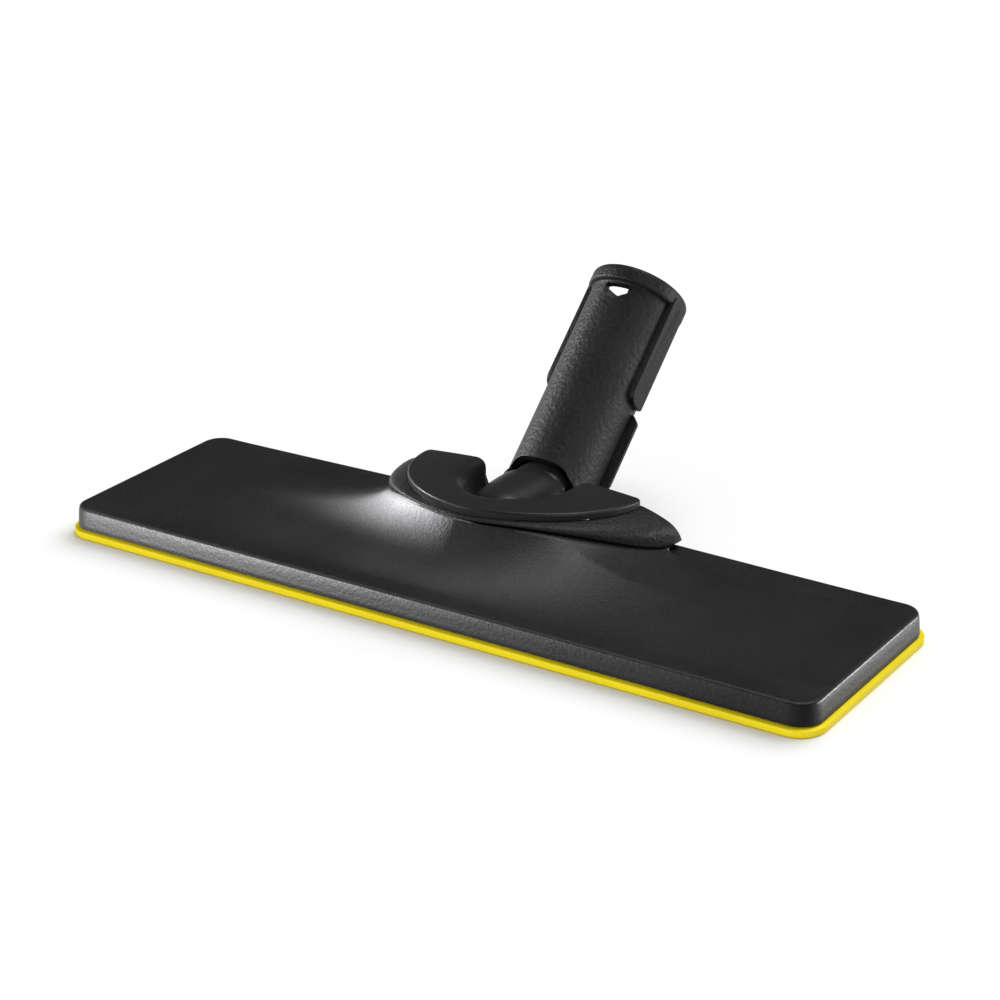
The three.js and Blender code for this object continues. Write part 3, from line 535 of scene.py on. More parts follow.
def cylinder_x(name, x0, x1, y, z, radius, sides=64):
    return move(turned(name, [(radius, x0), (radius, x1)], sides, hole=False), shift(0, y, z) @ Z_TO_X)


def cylinder_y(name, y0, y1, z, radius, sides=64):
    return move(turned(name, [(radius, y0), (radius, y1)], sides, hole=False), shift(0, 0, z) @ Z_TO_Y)

# ------------------------------------------------------------------ plan shapes and heights


def inside_rim(x, y, inset):
    radius = max(CORNER - inset, 1.0)
    dx = np.abs(x) - (HALF_LENGTH - inset - radius)
    dy = np.abs(y) - (HALF_WIDTH - inset - radius)
    return np.hypot(np.maximum(dx, 0), np.maximum(dy, 0)) < radius


def inside_oval(oval, x, y, inset=0.0):
    half_x = oval["half_x"] - inset
    depth = oval["depth"] - inset
    side = np.abs(x / half_x) ** oval["power"]
    front = np.abs((oval["widest"] - y) / depth) ** oval["power"]
    in_front = side + front < 1
    within = (np.abs(x) < half_x) & (y < oval["back"] - inset)
    return within & ((y > oval["widest"]) | in_front)


def reach(inside, angles):
    """Distance from the plan centre to a shape's edge in each direction."""
    near = np.zeros_like(angles)
    far = np.full_like(angles, 2 * HALF_LENGTH)
    for _ in range(44):
        middle = (near + far) / 2
        hit = inside(middle * np.cos(angles), CENTRE_Y + middle * np.sin(angles))
        near = np.where(hit, middle, near)
        far = np.where(hit, far, middle)
    return near


def on_ray(angles, distance):
    return np.stack([distance * np.cos(angles), CENTRE_Y + distance * np.sin(angles)], 1)


def smoothstep(value, low, high):
    t = np.clip((value - low) / (high - low), 0, 1)
    return t * t * (3 - 2 * t)


def rim_height(p):
    towards_middle = np.maximum(0, 1 - np.abs(p[:, 0]) / 140) ** 1.2
    return RIM_TOP + BACK_RISE * smoothstep(p[:, 1], 0, HALF_WIDTH) * towards_middle


def housing_foot_height(p):
    bulge = 1 - np.minimum(1, np.abs(p[:, 0]) / HOUSING["half_x"]) ** 3
    front = HOUSING_END_Z + (HOUSING_FRONT_Z - HOUSING_END_Z) * bulge
    return np.where(p[:, 1] > HOUSING["widest"], HOUSING_END_Z, front)


def cap_height(p):
    return CAP_HIGH.z - 0.05 * (p[:, 1] + 10) - 0.001 * p[:, 0] ** 2


def outline_angles(outline):
    angles = np.arctan2(outline[:, 1] - CENTRE_Y, outline[:, 0])
    return np.sort(np.unique(np.round(angles, 7)))


def head_outline():
    """Anticlockwise rounded rectangle of the head."""
    x, y, r = HALF_LENGTH, HALF_WIDTH, CORNER
    corners = [(x, -y, r), (x, y, r), (-x, y, r), (-x, -y, r)]
    return resample(rounded_outline(corners, 20), 1.5)


SWELL_KINK = 0.12                  # share of the swell that starts at once at the crease
CREASE = dict(half_x=HALF_LENGTH - 8.0, half_y=HALF_WIDTH - 8.0, inset=2.0, power=1.6)


def crease_distance(x, y):
    """Smooth distance inwards from the crease, without a fold along the corner diagonals."""
    dx = np.maximum(CREASE["half_x"] - np.abs(x), 1e-6)
    dy = np.maximum(CREASE["half_y"] - np.abs(y), 1e-6)
    power = CREASE["power"]
    return (dx**-power + dy**-power) ** (-1 / power) - CREASE["inset"]


def foot_distance(p):
    """Rough distance outwards from the housing's foot."""
    ahead = np.maximum(HOUSING["widest"] - p[:, 1], 0) / HOUSING["depth"]
    power = HOUSING["power"]
    oval = (np.abs(p[:, 0] / HOUSING["half_x"]) ** power + ahead**power) ** (1 / power)
    return np.maximum(oval - 1, 0) * HOUSING["depth"]


def cover_loops():
    """Loops of the cover from its outer foot over the rim band and the swell to its inner foot."""
    angles = outline_angles(head_outline())
    crease = reach(lambda x, y: crease_distance(x, y) > 0, angles)
    housing = reach(lambda x, y: inside_oval(HOUSING, x, y), angles)
    foot = np.minimum(housing, crease)
    low = rim_height(on_ray(angles, crease))
    high = np.where(housing > crease, low, housing_foot_height(on_ray(angles, foot)))

    def rim(inset, drop=None, z=None):
        p = on_ray(angles, reach(lambda x, y: inside_rim(x, y, inset), angles))
        return at_height(p, z if drop is None else rim_height(p) - drop)

    def swell(part, drop=0.0):
        p = on_ray(angles, crease + (foot - crease) * part)
        inwards = np.maximum(crease_distance(p[:, 0], p[:, 1]), 0)
        share = inwards / (inwards + foot_distance(p) + 1e-6) if part < 1 else np.ones(len(p))
        climb = (1 - SWELL_KINK) * share**1.9 + SWELL_KINK * share
        return at_height(p, low + (high - low) * climb - drop)

    def lip(drop):
        inner = reach(lambda x, y: inside_oval(HOUSING, x, y, 2.5), angles)
        return at_height(on_ray(angles, np.minimum(inner, foot - 1)), high - drop)

    edge = 1.2                                     # radius of the cover's top edge
    tilt = math.radians(4.5)                       # draft of the side walls
    inset_at_top = 1.6 + (RIM_TOP - 3.3) * math.tan(tilt)
    loops = [rim(2.1, z=3.0), rim(1.75, z=3.1), rim(1.6, z=3.45)]
    loops += [rim(1.6 + (z - 3.45) * math.tan(tilt), z=z) for z in (5.0, 7.0, 9.0)]
    for a in np.linspace(0, math.pi / 2, 7):
        loops.append(rim(inset_at_top + edge - edge * math.cos(a), drop=edge - edge * math.sin(a)))
    loops += [rim(inset, drop=0) for inset in (4.6, 6.0, 7.5, 8.8)]
    parts = np.concatenate([np.linspace(0, 0.08, 5), np.linspace(0.11, 1, 44)])
    loops += [swell(part) for part in parts]
    loops += [lip(0.0), lip(WALL)]
    loops += [swell(part, WALL) for part in np.linspace(1, 0, 12)]
    loops += [rim(5.0, drop=WALL), rim(4.2, drop=WALL + 1.0), rim(3.9, z=3.0)]
    return loops


def make_cover():
    cover = loft("cover_shell", cover_loops(), ring=True)
    carve(cover, block("rear_cut", -REAR_CUT_HALF, REAR_CUT_HALF, 34, 60, POCKET_FLOOR, 40))
    return finish_piece(cover, "head", "black_textured", black_cover, ["top_cover"], 50)


# ------------------------------------------------------------------ joint housing and cap


def oval_angles(oval, spacing=1.2):
    """Directions that step evenly along an oval's outline."""
    rough = np.linspace(-math.pi, math.pi, 2400, endpoint=False)
    p = on_ray(rough, reach(lambda x, y: inside_oval(oval, x, y), rough))
    steps = np.linalg.norm(np.roll(p, -1, axis=0) - p, axis=1)
    along = np.concatenate([[0], np.cumsum(steps)])
    count = int(along[-1] / spacing)
    return np.interp(np.arange(count) * along[-1] / count, along, np.append(rough, math.pi))


def pocket_outline(grow):
    back = 60.0                                    # beyond every piece it cuts
    angles = np.linspace(math.pi, 2 * math.pi, 49)
    depth = POCKET["widest"] - POCKET["front"] + grow
    half = POCKET["half_x"] + grow
    curve = np.stack([half * np.cos(angles), POCKET["widest"] + depth * np.sin(angles)], 1)
    return np.concatenate([curve, [[half, back], [-half, back]]])


def make_housing():
    angles = oval_angles(HOUSING)
    foot_edge = on_ray(angles, reach(lambda x, y: inside_oval(HOUSING, x, y), angles))
    top_edge = on_ray(angles, reach(lambda x, y: inside_oval(CAP, x, y), angles))
    low = housing_foot_height(foot_edge) + HOUSING_LINE
    seat = cap_height(top_edge) - CAP_EDGE - CLEARANCE
    at_back = smoothstep(foot_edge[:, 1], POCKET["widest"], HOUSING["back"])

    def ring(height, inset, sunk=0.0, drop=0.0):
        """The sides stay full until close to the cap, while the back leans in evenly."""
        start = on_ray(angles, reach(lambda x, y: inside_oval(HOUSING, x, y, inset), angles))
        end = on_ray(angles, reach(lambda x, y: inside_oval(CAP, x, y, inset), angles))
        fullness = height**3.4
        x = start[:, 0] + (end[:, 0] - start[:, 0]) * fullness
        y = start[:, 1] + (end[:, 1] - start[:, 1]) * (fullness + (height - fullness) * at_back)
        return np.column_stack([x, y, low + (seat - sunk - low) * height - drop])

    loops = [ring(0.0, 0.35), ring(0.0, 0.0, drop=-0.3)]
    loops += [ring(h, 0.0) for h in np.linspace(0.05, 1, 27)]
    loops += [ring(1.0, 0.5)]
    loops += [ring(h, WALL, 1.7) for h in np.linspace(1, 0, 10)]
    # A skirt behind the joint line keeps the line dark.
    loops += [ring(0.0, 3.0, drop=2.4), ring(0.0, 2.9, drop=2.4), ring(0.0, 2.2, drop=-0.3)]
    housing = loft("housing_ring", loops, ring=True)
    carve(housing, plate("pocket", pocket_outline(2.3), 4, 60))
    return finish_piece(housing, "head", "black_textured", black_grain, ["joint_housing"], 50)


def cap_outline():
    """C-shaped plan of the cap: the oval outside, the pocket inside, two lobe ends at the back."""
    rough = oval_angles(CAP, 1.0)
    oval = on_ray(rough, reach(lambda x, y: inside_oval(CAP, x, y), rough))
    front = oval[oval[:, 1] < CAP["back"] - 2.6]
    start = int(np.argmin(np.where(front[:, 0] < 0, -front[:, 1], 1e9)))
    front = np.roll(front, -start, axis=0)
    inner = pocket_outline(0.0)[:-2]
    back = CAP["back"]
    half = POCKET["half_x"]
    lobe = 1.8
    right = rounded_outline([(front[-1][0], front[-1][1], 0), (front[-1][0] - 0.5, back, lobe),
                             (half, back, lobe), (half, POCKET["widest"], 0)], 6)[1:-1]
    left = right[::-1] * [-1, 1]
    straight = np.array([[half, y] for y in np.linspace(back - 3, POCKET["widest"] + 1, 3)])
    return np.concatenate([front, right, straight, inner[::-1], straight[::-1] * [-1, 1], left])


def pocket_distance(p):
    """Distance outwards from the edge of the cap's pocket."""
    half, depth = POCKET["half_x"], POCKET["widest"] - POCKET["front"]
    ahead = np.minimum(p[:, 1] - POCKET["widest"], 0)
    value = np.hypot(p[:, 0] / half, ahead / depth)
    slope = np.hypot(p[:, 0] / half**2, ahead / depth**2) / np.maximum(value, 1e-6)
    return (value - 1) / np.maximum(slope, 1e-6)


def pocket_roll(p):
    """How far the cap's top rolls down towards its pocket, widest on the two lobes."""
    radius = 1.2 + 3.4 * smoothstep(p[:, 1], 4, 24)
    inwards = np.clip(radius - pocket_distance(p), 0, radius)
    return radius - np.sqrt(radius**2 - inwards**2)


def make_cap():
    outline = cap_outline()
    x, y = outline.T
    in_pocket = (np.abs(x) < POCKET["half_x"] + 0.02) & (y < CAP["back"] - 1.6)
    rim_foot = np.where(in_pocket, 8.0 - CAP_HIGH.z, -CAP_EDGE)
    seat = inset_outline(outline, 2.0)
    loops = [at_height(seat, -CAP_EDGE), at_height(seat, rim_foot), at_height(outline, rim_foot)]
    edge = 1.0
    loops += [at_height(inset_outline(outline, inset), z)
              for inset, z in edge_profile(-CAP_EDGE + 0.6, 0.0, 0.0, edge, 6)]
    cap = loft("cap_shell", loops)
    bm = bmesh.new()
    bm.from_mesh(cap.data)
    near_pocket = np.arange(-25.2, 25.3, 0.9)
    wings = np.arange(27.5, 46, 2.5)
    cuts = [(0, at) for at in (*near_pocket, *wings, *-wings)] + [(1, at) for at in np.arange(-9, 37, 1.5)]
    for axis, at in cuts:
        point = Vector((0, 0, 0))
        point[axis] = at * MM
        normal = Vector((0, 0, 0))
        normal[axis] = 1
        geometry = bm.verts[:] + bm.edges[:] + bm.faces[:]
        bmesh.ops.bisect_plane(bm, geom=geometry, plane_co=point, plane_no=normal)
    bm.verts.ensure_lookup_table()
    places = np.array([v.co for v in bm.verts]) / MM
    on_top = places[:, 2] > -CAP_EDGE - 1
    lift = np.where(on_top, cap_height(places) - pocket_roll(places), CAP_HIGH.z)
    for v, rise in zip(bm.verts, lift):
        v.co.z += rise * MM
    bm.to_mesh(cap.data)
    bm.free()
    carve(cap, cylinder_y("journal_way", -14, 12, PIVOT[2], JOURNAL_RADIUS + 0.5))
    return finish_piece(cap, "head", "black_satin", black_satin, ["saddle_cap"], 50)


# ------------------------------------------------------------------ knuckle


NECK_SHOULDER = 38.5               # where the barrel steps in to pass between the ears


def knuckle_loop(y, half_width, top, narrow, power, sides=120):
    """Section across Y: a broad, slightly squared dome on top, narrow underneath."""
    turn = np.linspace(0, 360, sides, endpoint=False)
    angle = np.radians(turn)
    across = np.abs(np.sin(angle) / half_width) ** power
    upwards = np.abs(np.cos(angle) / top) ** power
    dome = (across + upwards) ** (-1 / power)
    radius = dome + (narrow - dome) * smoothstep(180 - np.abs(180 - turn), 70, 112)
    return np.column_stack([radius * np.sin(angle), np.full(sides, y), PIVOT[2] + radius * np.cos(angle)])


def make_knuckle():
    """Barrel that is broad on top, its ball-shaped head and the cuts inside it.

    Each station is (y, half width, top, narrow, power) of a section, see knuckle_loop.
    """
    front = [(-9, 5.5, 5.5, 5.5, 2.0), (3.4, 5.5, 5.5, 5.5, 2.0)]
    dome = smooth_line([(3.9, 5.8, 5.8, 5.7, 2.0), (4.6, 7.4, 7.4, 6.4, 2.05), (6.2, 9.7, 9.7, 7.4, 2.1),
                        (8.5, 11.4, 11.4, 8.1, 2.2), (12, 12.6, 12.6, 8.4, 2.3), (18, 13.4, 13.0, 8.4, 2.3),
                        (24, 14.3, 13.0, 8.4, 2.3), (31, 14.9, 12.9, 8.4, 2.3), (35, 14.9, 12.65, 8.4, 2.3),
                        (37, 14.5, 12.35, 8.4, 2.3), (38.1, 13.6, 12.1, 8.4, 2.3),
                        (NECK_SHOULDER, 12.9, 11.95, 8.4, 2.3)], 60)
    ball = smooth_line([(NECK_SHOULDER + 0.2, 12.8, 11.9, 8.4, 2.3), (40.4, 12.9, 12.5, 8.5, 2.3),
                        (43, 13.1, 13.0, 8.7, 2.2), (47.6, 13.4, 13.4, 9.0, 2.0),
                        (50.4, 13.1, 13.1, 9.0, 2.0), (53.2, 12.2, 12.2, 9.0, 2.0),
                        (56, 10.5, 10.5, 9.0, 2.0), (58.4, 8.0, 8.0, 7.8, 2.0),
                        (60.2, 4.5, 4.5, 4.4, 2.0), (60.9, 1.4, 1.4, 1.4, 2.0)], 44)
    knuckle = loft("rolling_knuckle", [knuckle_loop(*station) for station in (*front, *dome, *ball)])
    for side in (-1, 1):
        flat = sorted((side * HEAD_HALF, side * 40))
        carve(knuckle, block("flat", flat[0], flat[1], NECK_SHOULDER, 80, -10, 60))
    carve(knuckle, block("foot", -30, 30, 39.5, 80, -10, PIVOT[2] - 9.0),
          cylinder_y("seat", PIVOT[1] - 9.5, 80, PIVOT[2], SEAT_RADIUS),
          cylinder_y("duct", -20, PIVOT[1] - 8, PIVOT[2], DUCT_RADIUS),
          cylinder_x("pins", -30, 30, PIVOT[1], PIVOT[2], PIN_RADIUS + CLEARANCE),
          pipe_sweep())
    return finish_piece(knuckle, "knuckle", "black_satin", black_satin, ["swivel_knuckle"], 40)


def pipe_sweep():
    """Room that the steam pipe sweeps through as the tube tilts."""
    half, far = 4.6, 30
    upper, lower = math.radians(33), math.radians(87)

    def at(lean, along, across):
        return (PIVOT[1] + along * math.sin(lean) - across * math.cos(lean),
                PIVOT[2] + along * math.cos(lean) + across * math.sin(lean))

    middle = (upper + lower) / 2
    outline = np.array([at(lower, 0, -half), at(lower, far, -half), at(middle, far * 1.3, 0),
                        at(upper, far, half), at(upper, 0, half)])
    return side_plate("pipe_way", outline, -half, half)


# ------------------------------------------------------------------ tube, built upright on its own axis


def ear_outline():
    bottom = arc(0, 0, EAR_RADIUS, 180, 360, 28)
    rest = smooth_line([(7.5, 0), (7.9, 2.2), (9.6, 4.8), (13, 6.6), (18, BACK_EDGE)], 16)[1:]
    front = smooth_line([(-18, 4.0), (-13, 3.2), (-9.5, 1.0), (-7.9, -1.0), (-7.5, 0)][:-1], 10)
    return np.concatenate([bottom, rest, [[18, FORK_TOP], [-18, FORK_TOP]], front])


def arch_outline():
    corner = 5.5
    right = arc(EAR_INNER - corner, ARCH_TOP - corner, corner, 0, 90, 14)
    return np.concatenate([[[EAR_INNER, -20]], right, right[::-1] * [-1, 1], [[-EAR_INNER, -20]]])


def latch_outline():
    """Five-cornered hole that points down, measured from the tube's mouth."""
    top, shoulder, point = TUBE_TOP - 7.6, TUBE_TOP - 10.6, TUBE_TOP - 14.2
    corners = [(-4.8, top, 0.5), (-5, shoulder, 0.8), (0, point, 0.8), (5, shoulder, 0.8), (4.8, top, 0.5)]
    return rounded_outline(corners, 5)


def pad_outline():
    front, back, foot = -5.3, 5.0, 41.0
    corners = [(front, foot, 4.2), (back, foot, 1.5), (back, TUBE_TOP - 3, 0), (front, TUBE_TOP - 3, 0)]
    return rounded_outline(corners, 10)


def fin_outline(side):
    corners = [(14.6, 4.5, 0), (17.6, 5.4, 1.0), (FIN_EDGE, 9, 4.0), (FIN_EDGE, 36, 2.5),
               (17.6, 38.8, 1.0), (14.6, 39.5, 0)]
    outline = rounded_outline(corners, 6)
    return outline if side > 0 else outline[::-1] * [-1, 1]


def collar_profile():
    """Outside of the tube from its foot to its rounded collar and back down the axis."""
    lip = COLLAR_RADIUS
    under = TUBE_TOP - COLLAR_HEIGHT
    points = [(0, FORK_TOP - 1), (TUBE_RADIUS, FORK_TOP - 1), (TUBE_RADIUS, under - 1.4)]
    points += arc(TUBE_RADIUS + 0.9, under - 1.4, 0.9, 180, 90, 4)[1:].tolist()
    points += arc(lip - 1.0, under + 0.5, 1.0, -90, 0, 5).tolist()
    points += arc(lip - 1.5, TUBE_TOP - 1.5, 1.5, 0, 90, 7).tolist()
    points.append((0, TUBE_TOP))
    return points


def make_tube():
    tube = turned("tube_shell", collar_profile()[1:-1], 160, hole=False)
    fork = turned("fork", [(TUBE_RADIUS, -EAR_RADIUS - 1), (TUBE_RADIUS, FORK_TOP)], 160, hole=False)
    combine(fork, side_plate("ears", ear_outline(), -30, 30), "INTERSECT")
    fuse(tube, fork)
    for side in (-1, 1):
        across = sorted((side * 15.0, side * PAD_FACE))
        fuse(tube, side_plate("pad", pad_outline(), across[0], across[1], 0.35))
        fuse(tube, front_plate("fin", fin_outline(side), 3.5, 5.0, 0.35))
    between = block("between", -EAR_INNER, EAR_INNER, -30, 30, -30, FORK_TOP + 2)
    hollow = cylinder("hollow", 0, 0, -30, FORK_TOP + 2, TUBE_BORE, 160)
    combine(hollow, between, "INTERSECT")
    carve(tube,
          cylinder("socket", 0, 0, FORK_TOP + 1.9, TUBE_TOP + 5, TUBE_BORE, 160),
          turned("lead_in", [(TUBE_BORE - LEAD_IN / 2, TUBE_TOP - 3 * LEAD_IN),
                             (TUBE_BORE + 2 * LEAD_IN, TUBE_TOP + 2 * LEAD_IN)], 160, hole=False),
          hollow,
          front_plate("arch", arch_outline(), -30, 0),
          block("rear_way", -EAR_INNER, EAR_INNER, 0, 30, -30, BACK_EDGE),
          front_plate("latch", latch_outline(), -30, -8),
          cylinder_x("bush_seats", -30, 30, 0, 0, 5))
    move(tube, TO_TUBE)
    return finish_piece(tube, "tube", "black_textured", black_grain, ["connector_tube"], 40)


# ------------------------------------------------------------------ sole and its underside

PAD = dict(half_x=126, near=11, far=36, thickness=1)
COMB = dict(half_x=130, near=38, far=41, thickness=1.2)
SCREWS = [(-138, 0), (138, 0), (-70, -34), (70, -34), (-70, 34), (70, 34)]
BLOCK_SCREWS = [(-25, -4), (25, -4), (-25, 19), (25, 19)]
OUTLETS = [(x, y) for y in (-6, 6) for x in range(-90, 91, 30)]


def strip_outline(shape, side, grow, radius):
    x = shape["half_x"] + grow
    y0, y1 = sorted((side * (shape["near"] - grow), side * (shape["far"] + grow)))
    corners = [(x, y0, radius), (x, y1, radius), (-x, y1, radius), (-x, y0, radius)]
    return resample(rounded_outline(corners, 8), 12)


def make_sole():
    sole = plate("sole_tray", head_outline(), 0, SOLE_TOP, 0.5, 0.35)
    for side in (-1, 1):
        carve(sole, plate("pad_well", strip_outline(PAD, side, CLEARANCE, 4.3), -1, 1.3),
              plate("comb_well", strip_outline(COMB, side, CLEARANCE, 1.2), -1, 1.5))
    for x, y in OUTLETS:
        carve(sole, move(turned("outlet", [(2.3, -0.1), (2.2, 0.0), (1.6, 0.6), (1.6, 4)], 24, hole=False),
                         shift(x, y, 0)))
    for x, y in SCREWS:
        carve(sole, cylinder("well", x, y, -1, 2.2, 3.3, 40), cylinder("way", x, y, -1, 4, 1.8, 32))
    return finish_piece(sole, "head", "yellow_plastic", yellow_plastic, ["sole_plate"], 40)


def make_hook_pad(place, side):
    """Woven tape with rows of small bent hooks that hold a cloth."""
    chance = random.Random(SEED + side)
    tape = plate("tape", strip_outline(PAD, side, 0, 4.0), 0.55, PAD["thickness"], 0.15, 0.1)
    vertices, faces = [], []
    pitch = 2.3
    columns = int(2 * (PAD["half_x"] - 2.5) / pitch)
    rows = int((PAD["far"] - PAD["near"] - 3) / pitch)
    spine = [(0.0, 0.6), (0.05, 0.25), (0.22, 0.04), (0.45, 0.08), (0.55, 0.24)]
    for i in range(columns + 1):
        for k in range(rows + 1):
            x = (i - columns / 2) * pitch + chance.uniform(-0.2, 0.2)
            y = side * (PAD["near"] + 1.9 + k * pitch) + chance.uniform(-0.2, 0.2)
            way = chance.choice((-1, 1))
            first = len(vertices)
            for n, (along, z) in enumerate(spine):
                thick = 0.17 - 0.02 * n
                for du, dv in ((-1, -1), (1, -1), (1, 1), (-1, 1)):
                    lift = thick * dv * (0.2 if n < 2 else 0.7)
                    vertices.append((x + way * (along + thick * dv * (1.0 if n < 2 else 0.4)), y + thick * du,
                                     max(z + lift, 0.0)))
            for n in range(len(spine) - 1):
                for j in range(4):
                    a, b = first + 4 * n + j, first + 4 * n + (j + 1) % 4
                    faces.append((a, b, b + 4, a + 4))
            end = first + 4 * (len(spine) - 1)
            faces.append((end, end + 1, end + 2, end + 3))
    hooks = tidy_mesh(make_object("hooks", vertices, faces))
    pad = join_meshes("hook_tape_" + place, tape, hooks)
    return finish_piece(pad, "head", "hook_strip", hook_tape, ["hook_pad_" + place], 40)


def make_comb(place, side):
    """Rubber strip with a row of slit lips."""
    comb = plate("comb_" + place, strip_outline(COMB, side, 0, 0.9), 0.75, COMB["thickness"], 0.0, 0.15)
    pitch, slit = 13, 2
    count = 2 * COMB["half_x"] // pitch - 1
    edges = [-COMB["half_x"]] + [(i - (count - 1) / 2) * pitch for i in range(count)] + [COMB["half_x"]]
    y0, y1 = sorted((side * COMB["near"], side * COMB["far"]))
    lips = [comb]
    for start, end in zip(edges[:-1], edges[1:]):
        x0 = start + (slit / 2 if start > -COMB["half_x"] else 0.4)
        x1 = end - (slit / 2 if end < COMB["half_x"] else 0.4)
        outline = rounded_outline([(x0, y0, 0.6), (x1, y0, 0.6), (x1, y1, 0.6), (x0, y1, 0.6)], 5)
        lips.append(plate("lip", resample(outline, 3), 0.0, 0.85, 0.35, 0.0))
    comb = join_meshes("lamella_comb_" + place, *lips)
    return finish_piece(comb, "head", "soft_rubber", rubber, ["lamella_strip_" + place], 40)


def join_meshes(name, *pieces):
    """One object out of several closed shells."""
    bm = bmesh.new()
    for piece in pieces:
        bm.from_mesh(piece.data)
    mesh = bpy.data.meshes.new(name)
    bm.to_mesh(mesh)
    bm.free()
    for piece in pieces:
        bpy.data.objects.remove(piece)
    joined = bpy.data.objects.new(name, mesh)
    bpy.context.scene.collection.objects.link(joined)
    return joined


def screw_profile(head_radius, shank_radius, head, tip, pitch=0.7):
    """(radius, height) pairs of a screw standing on its head's face at zero, thread upwards."""
    edge = 0.35
    points = [(head_radius - edge, 0.0), (head_radius - 0.1, 0.12), (head_radius, edge),
              (head_radius, head - 0.1), (head_radius - 0.1, head), (shank_radius + 0.15, head),
              (shank_radius, head + 0.2)]
    z = head + 0.5
    while z < tip - 0.9:
        points += [(shank_radius - 0.22, z), (shank_radius, z + pitch / 2)]
        z += pitch
    points += [(shank_radius - 0.3, tip - 0.5), (shank_radius - 0.9, tip)]
    return points


def make_screw(node, place, face, tip, head, head_radius, shank_radius):
    """Screw with a six-lobed recess in its head; it points up if its tip lies above its face."""
    way = 1 if tip > face else -1
    screw = turned("screw", screw_profile(head_radius, shank_radius, head, abs(tip - face)), 40, hole=False)
    turn = np.linspace(0, 2 * math.pi, 48, endpoint=False)
    lobes = 1.25 + 0.22 * np.cos(6 * turn)
    carve(screw, plate("recess", np.stack([lobes * np.cos(turn), lobes * np.sin(turn)], 1), -1, head * 0.55))
    flip = Matrix.Rotation(0 if way > 0 else math.pi, 4, "X")
    move(screw, shift(*place, face) @ flip)
    screw.name = node + "_lobed"
    return finish_piece(screw, "head", "steel", steel, [node], 30)


def make_tilt_pin(place, side):
    """Headed pivot pin with a turned dimple in its rounded head."""
    shank = [(0.01, 7.3), (2.9, 7.3), (PIN_RADIUS, 7.8), (PIN_RADIUS, 17.1), (PIN_RADIUS - 0.15, 17.3)]
    head = [(5.4, 17.3), (5.6, 17.45), (5.6, 17.7), (5.4, 17.95), (4.9, 18.12), (4.0, 18.2)]
    dimple = [(1.9, 18.2), (1.6, 18.1), (1.0, 17.6), (0.01, 17.5)]
    pin = turned("pin", shank + head + dimple, 64, hole=False)
    move(pin, shift(0, PIVOT[1], PIVOT[2]) @ Matrix.Rotation(side * math.pi / 2, 4, "Y"))
    pin.name = "pivot_pin_" + place
    return finish_piece(pin, "knuckle", "steel", steel, ["tilt_pin_" + place], 30)


def make_tilt_ring(kind, place, side, outer, low, high, slot):
    """Bush or washer of the tilt pivot, with eased edges."""
    ring = turned(kind, ring_profile(PIN_RADIUS + CLEARANCE, outer, low, high, 0.12), 64)
    turn = Matrix.Rotation(side * math.pi / 2, 4, "Y")
    move(ring, shift(0, PIVOT[1], PIVOT[2]) @ Matrix.Rotation(-LEAN, 4, "X") @ turn)
    ring.name = f"{kind}_ring_{place}"
    return finish_piece(ring, "tube", slot, None, [f"{kind}_{place}"], 30)


ORINGS = dict(pipe_oring_lower=34, pipe_oring_upper=39)    # heights along the tube


def make_pipe():
    """Steam pipe: ball foot, shank, closing disc of the socket and the sealed nipple."""
    bore, shank, nipple, web = 2.4, 4.0, 4.6, (22, 25)
    low, high = math.asin(bore / BALL_RADIUS), math.pi - math.asin(shank / BALL_RADIUS)
    ball = [(BALL_RADIUS * math.sin(a), -BALL_RADIUS * math.cos(a)) for a in np.linspace(low, high, 24)]
    disc = TUBE_BORE - CLEARANCE
    points = ball + [(shank, web[0] - 0.8), (shank + 0.8, web[0]), (disc - 0.2, web[0]),
                     (disc, web[0] + 0.2), (disc, web[1] - 0.3), (disc - 0.3, web[1]),
                     (nipple + 1.0, web[1]), (nipple, web[1] + 1.0)]
    for z in ORINGS.values():
        points += [(nipple, z - 1.05), (nipple - 0.12, z - 0.95), (3.8, z - 0.95), (3.8, z + 0.95),
                   (nipple - 0.12, z + 0.95), (nipple, z + 1.05)]
    points += [(nipple, 42.5), (nipple - 0.4, 43.2), (3.6, 44), (bore + 0.3, 44), (bore, 43.7)]
    pipe = move(turned("pipe", points, 64), TO_TUBE)
    pipe.name = "steam_nipple"
    return finish_piece(pipe, "tube", "inner_plastic", grey_plastic, ["steam_pipe"], 30)


def make_oring(node, z):
    turn = np.linspace(0, 2 * math.pi, 16, endpoint=False)
    section = [(4.8 + 0.6 * math.cos(a), z + 0.6 * math.sin(a)) for a in turn]
    ring = move(turned("oring", section, 64), TO_TUBE)
    ring.name = node + "_round"
    return finish_piece(ring, "tube", "soft_rubber", rubber, [node], 60)


for make in (make_cover, make_housing, make_cap, make_knuckle, make_tube, make_sole, make_pipe):
    make()
for place, side in (("front", -1), ("rear", 1)):
    make_hook_pad(place, side)
    make_comb(place, side)
for i, place in enumerate(SCREWS):
    make_screw(f"cover_screw_{i + 1}", place, face=1.5, tip=8.4, head=1.4, head_radius=3.0, shank_radius=1.5)
for i, place in enumerate(BLOCK_SCREWS):
    make_screw(f"block_screw_{i + 1}", place, face=9.3, tip=2.7, head=1.4, head_radius=2.6, shank_radius=1.2)
for place, side in (("left", -1), ("right", 1)):
    make_tilt_pin(place, side)
    make_tilt_ring("tilt_bush", place, side, outer=4.7, low=12.85, high=16.85, slot="bearing_plastic")
    make_tilt_ring("friction_washer", place, side, outer=6.6, low=11.95, high=12.4, slot="steel")
for name, z in ORINGS.items():
    make_oring(name, z)

# CAD nodes that stay as they are get their slot's material.
for name, node in frame["nodes"].items():
    row = next(r for r in frame["record"]["subparts"] if r["node"] == name)
    node.data.materials.clear()
    node.data.materials.append(MATERIALS[row["material_slot"]])

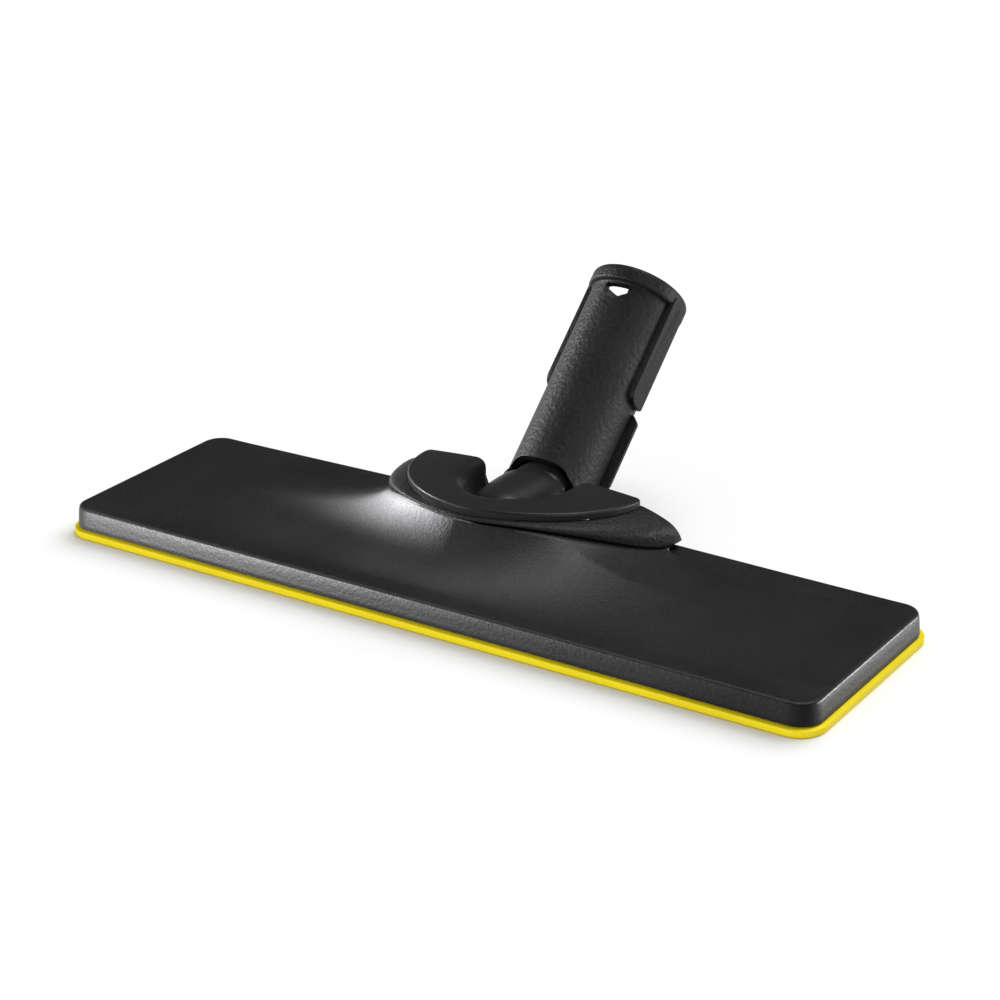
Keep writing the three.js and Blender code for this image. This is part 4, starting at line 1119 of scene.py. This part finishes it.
# ------------------------------------------------------------------ stage and light


def make_floor():
    mesh = bpy.data.meshes.new("floor")
    mesh.from_pydata([(-20, -20, 0), (20, -20, 0), (20, 20, 0), (-20, 20, 0)], [], [(0, 1, 2, 3)])
    floor = bpy.data.objects.new("floor", mesh)
    bpy.context.scene.collection.objects.link(floor)
    n = Nodes("floor_paint")
    n.link(n.mix(n.noise(0.7), (0.86, 0.86, 0.86), (0.88, 0.88, 0.88)), n.shader.inputs["Base Color"])
    n.sockets(roughness=0.9, specular=0.0)
    mesh.materials.append(n.material)
    floor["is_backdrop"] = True
    return floor


def make_world():
    world = bpy.data.worlds.new("studio")
    world.use_nodes = True
    tree = world.node_tree
    background = tree.nodes["Background"]
    background.inputs["Color"].default_value = (1, 1, 1, 1)
    path = tree.nodes.new("ShaderNodeLightPath")
    strength = tree.nodes.new("ShaderNodeMapRange")
    strength.inputs["To Min"].default_value = 0.38
    strength.inputs["To Max"].default_value = 0.05
    tree.links.new(path.outputs["Is Glossy Ray"], strength.inputs["Value"])
    tree.links.new(strength.outputs["Result"], background.inputs["Strength"])
    bpy.context.scene.world = world


def add_light(name, kind, power, ray, only):
    """Link a lamp that shines along ray and reaches only the listed pieces."""
    data = bpy.data.lights.new(name, kind)
    data.energy = power
    light = bpy.data.objects.new(name, data)
    bpy.context.scene.collection.objects.link(light)
    light.rotation_euler = ray.to_track_quat("-Z", "Y").to_euler()
    group = bpy.data.collections.new(name + "_lights")
    for piece in only:
        group.objects.link(piece)
    light.light_linking.receiver_collection = group
    return light


def soft_box(name, place, target, width, height, power, only):
    light = add_light(name, "AREA", power, Vector(target) - Vector(place), only)
    light.location = place
    light.data.shape = "RECTANGLE"
    light.data.size, light.data.size_y = width, height


def make_beam(name, place, target, angle, power, only):
    """A soft-edged beam that adds shading and no reflected glare."""
    light = add_light(name, "SPOT", power, Vector(target) - Vector(place), only)
    light.location = place
    light.data.spot_size = math.radians(angle)
    light.data.spot_blend = 0.5
    light.data.shadow_soft_size = 0.01
    light.visible_glossy = False


def make_sun(name, direction, strength, angle, only):
    light = add_light(name, "SUN", strength, -Vector(direction), only)
    light.data.angle = math.radians(angle)


floor = make_floor()
make_world()
# Every lamp reaches only the pieces it is meant for, so each material keeps its own contrast.
body_pieces = list(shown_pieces())
cover_only = [o for o in body_pieces if o.name == "cover_shell"]
sole_only = [o for o in body_pieces if o.name == "sole_tray"]
joint_pieces = [o for o in body_pieces if o not in cover_only + sole_only]
make_sun("floor_sun", (0.10, 0.62, 0.78), 3.25, 60, [floor])
make_sun("overhead", (0.14, 0.36, 0.92), 2.35, 30, body_pieces)
make_beam("left_beam", (-0.80, 0.03, 0.060), (0, 0.0, 0.047), 4.7, 9000, cover_only)
soft_box("front_left_low", (-0.22, -0.25, 0.006), (-0.12, -0.045, 0.006), 0.14, 0.008, 3.7, cover_only)
soft_box("right_low", (0.35, 0.20, 0.006), (0.15, 0.0, 0.006), 0.10, 0.008, 2.4, cover_only)
make_sun("cover_top", (-0.2, 0.1, 0.97), 2.4, 40, cover_only)
soft_box("front_of_sole", (-0.10, -0.75, 0.25), (-0.02, -0.045, 0), 0.6, 0.2, 3.0, sole_only)
soft_box("left_side", (-0.68, -0.02, 0.20), (0, 0.03, 0.03), 0.15, 0.15, 7, joint_pieces)
soft_box("front_left_high", (-0.42, -0.62, 0.24), (0, 0, 0.03), 0.15, 0.10, 4, joint_pieces)
soft_box("right_front", (0.62, -0.22, 0.34), (0.03, 0, 0.03), 0.12, 0.12, 1.5, joint_pieces)
soft_box("right_box", (0.55, 0.42, 0.14), (0.1, 0, 0.02), 0.3, 0.15, 3.4, joint_pieces)

bpy.context.scene.view_settings.view_transform = "Standard"
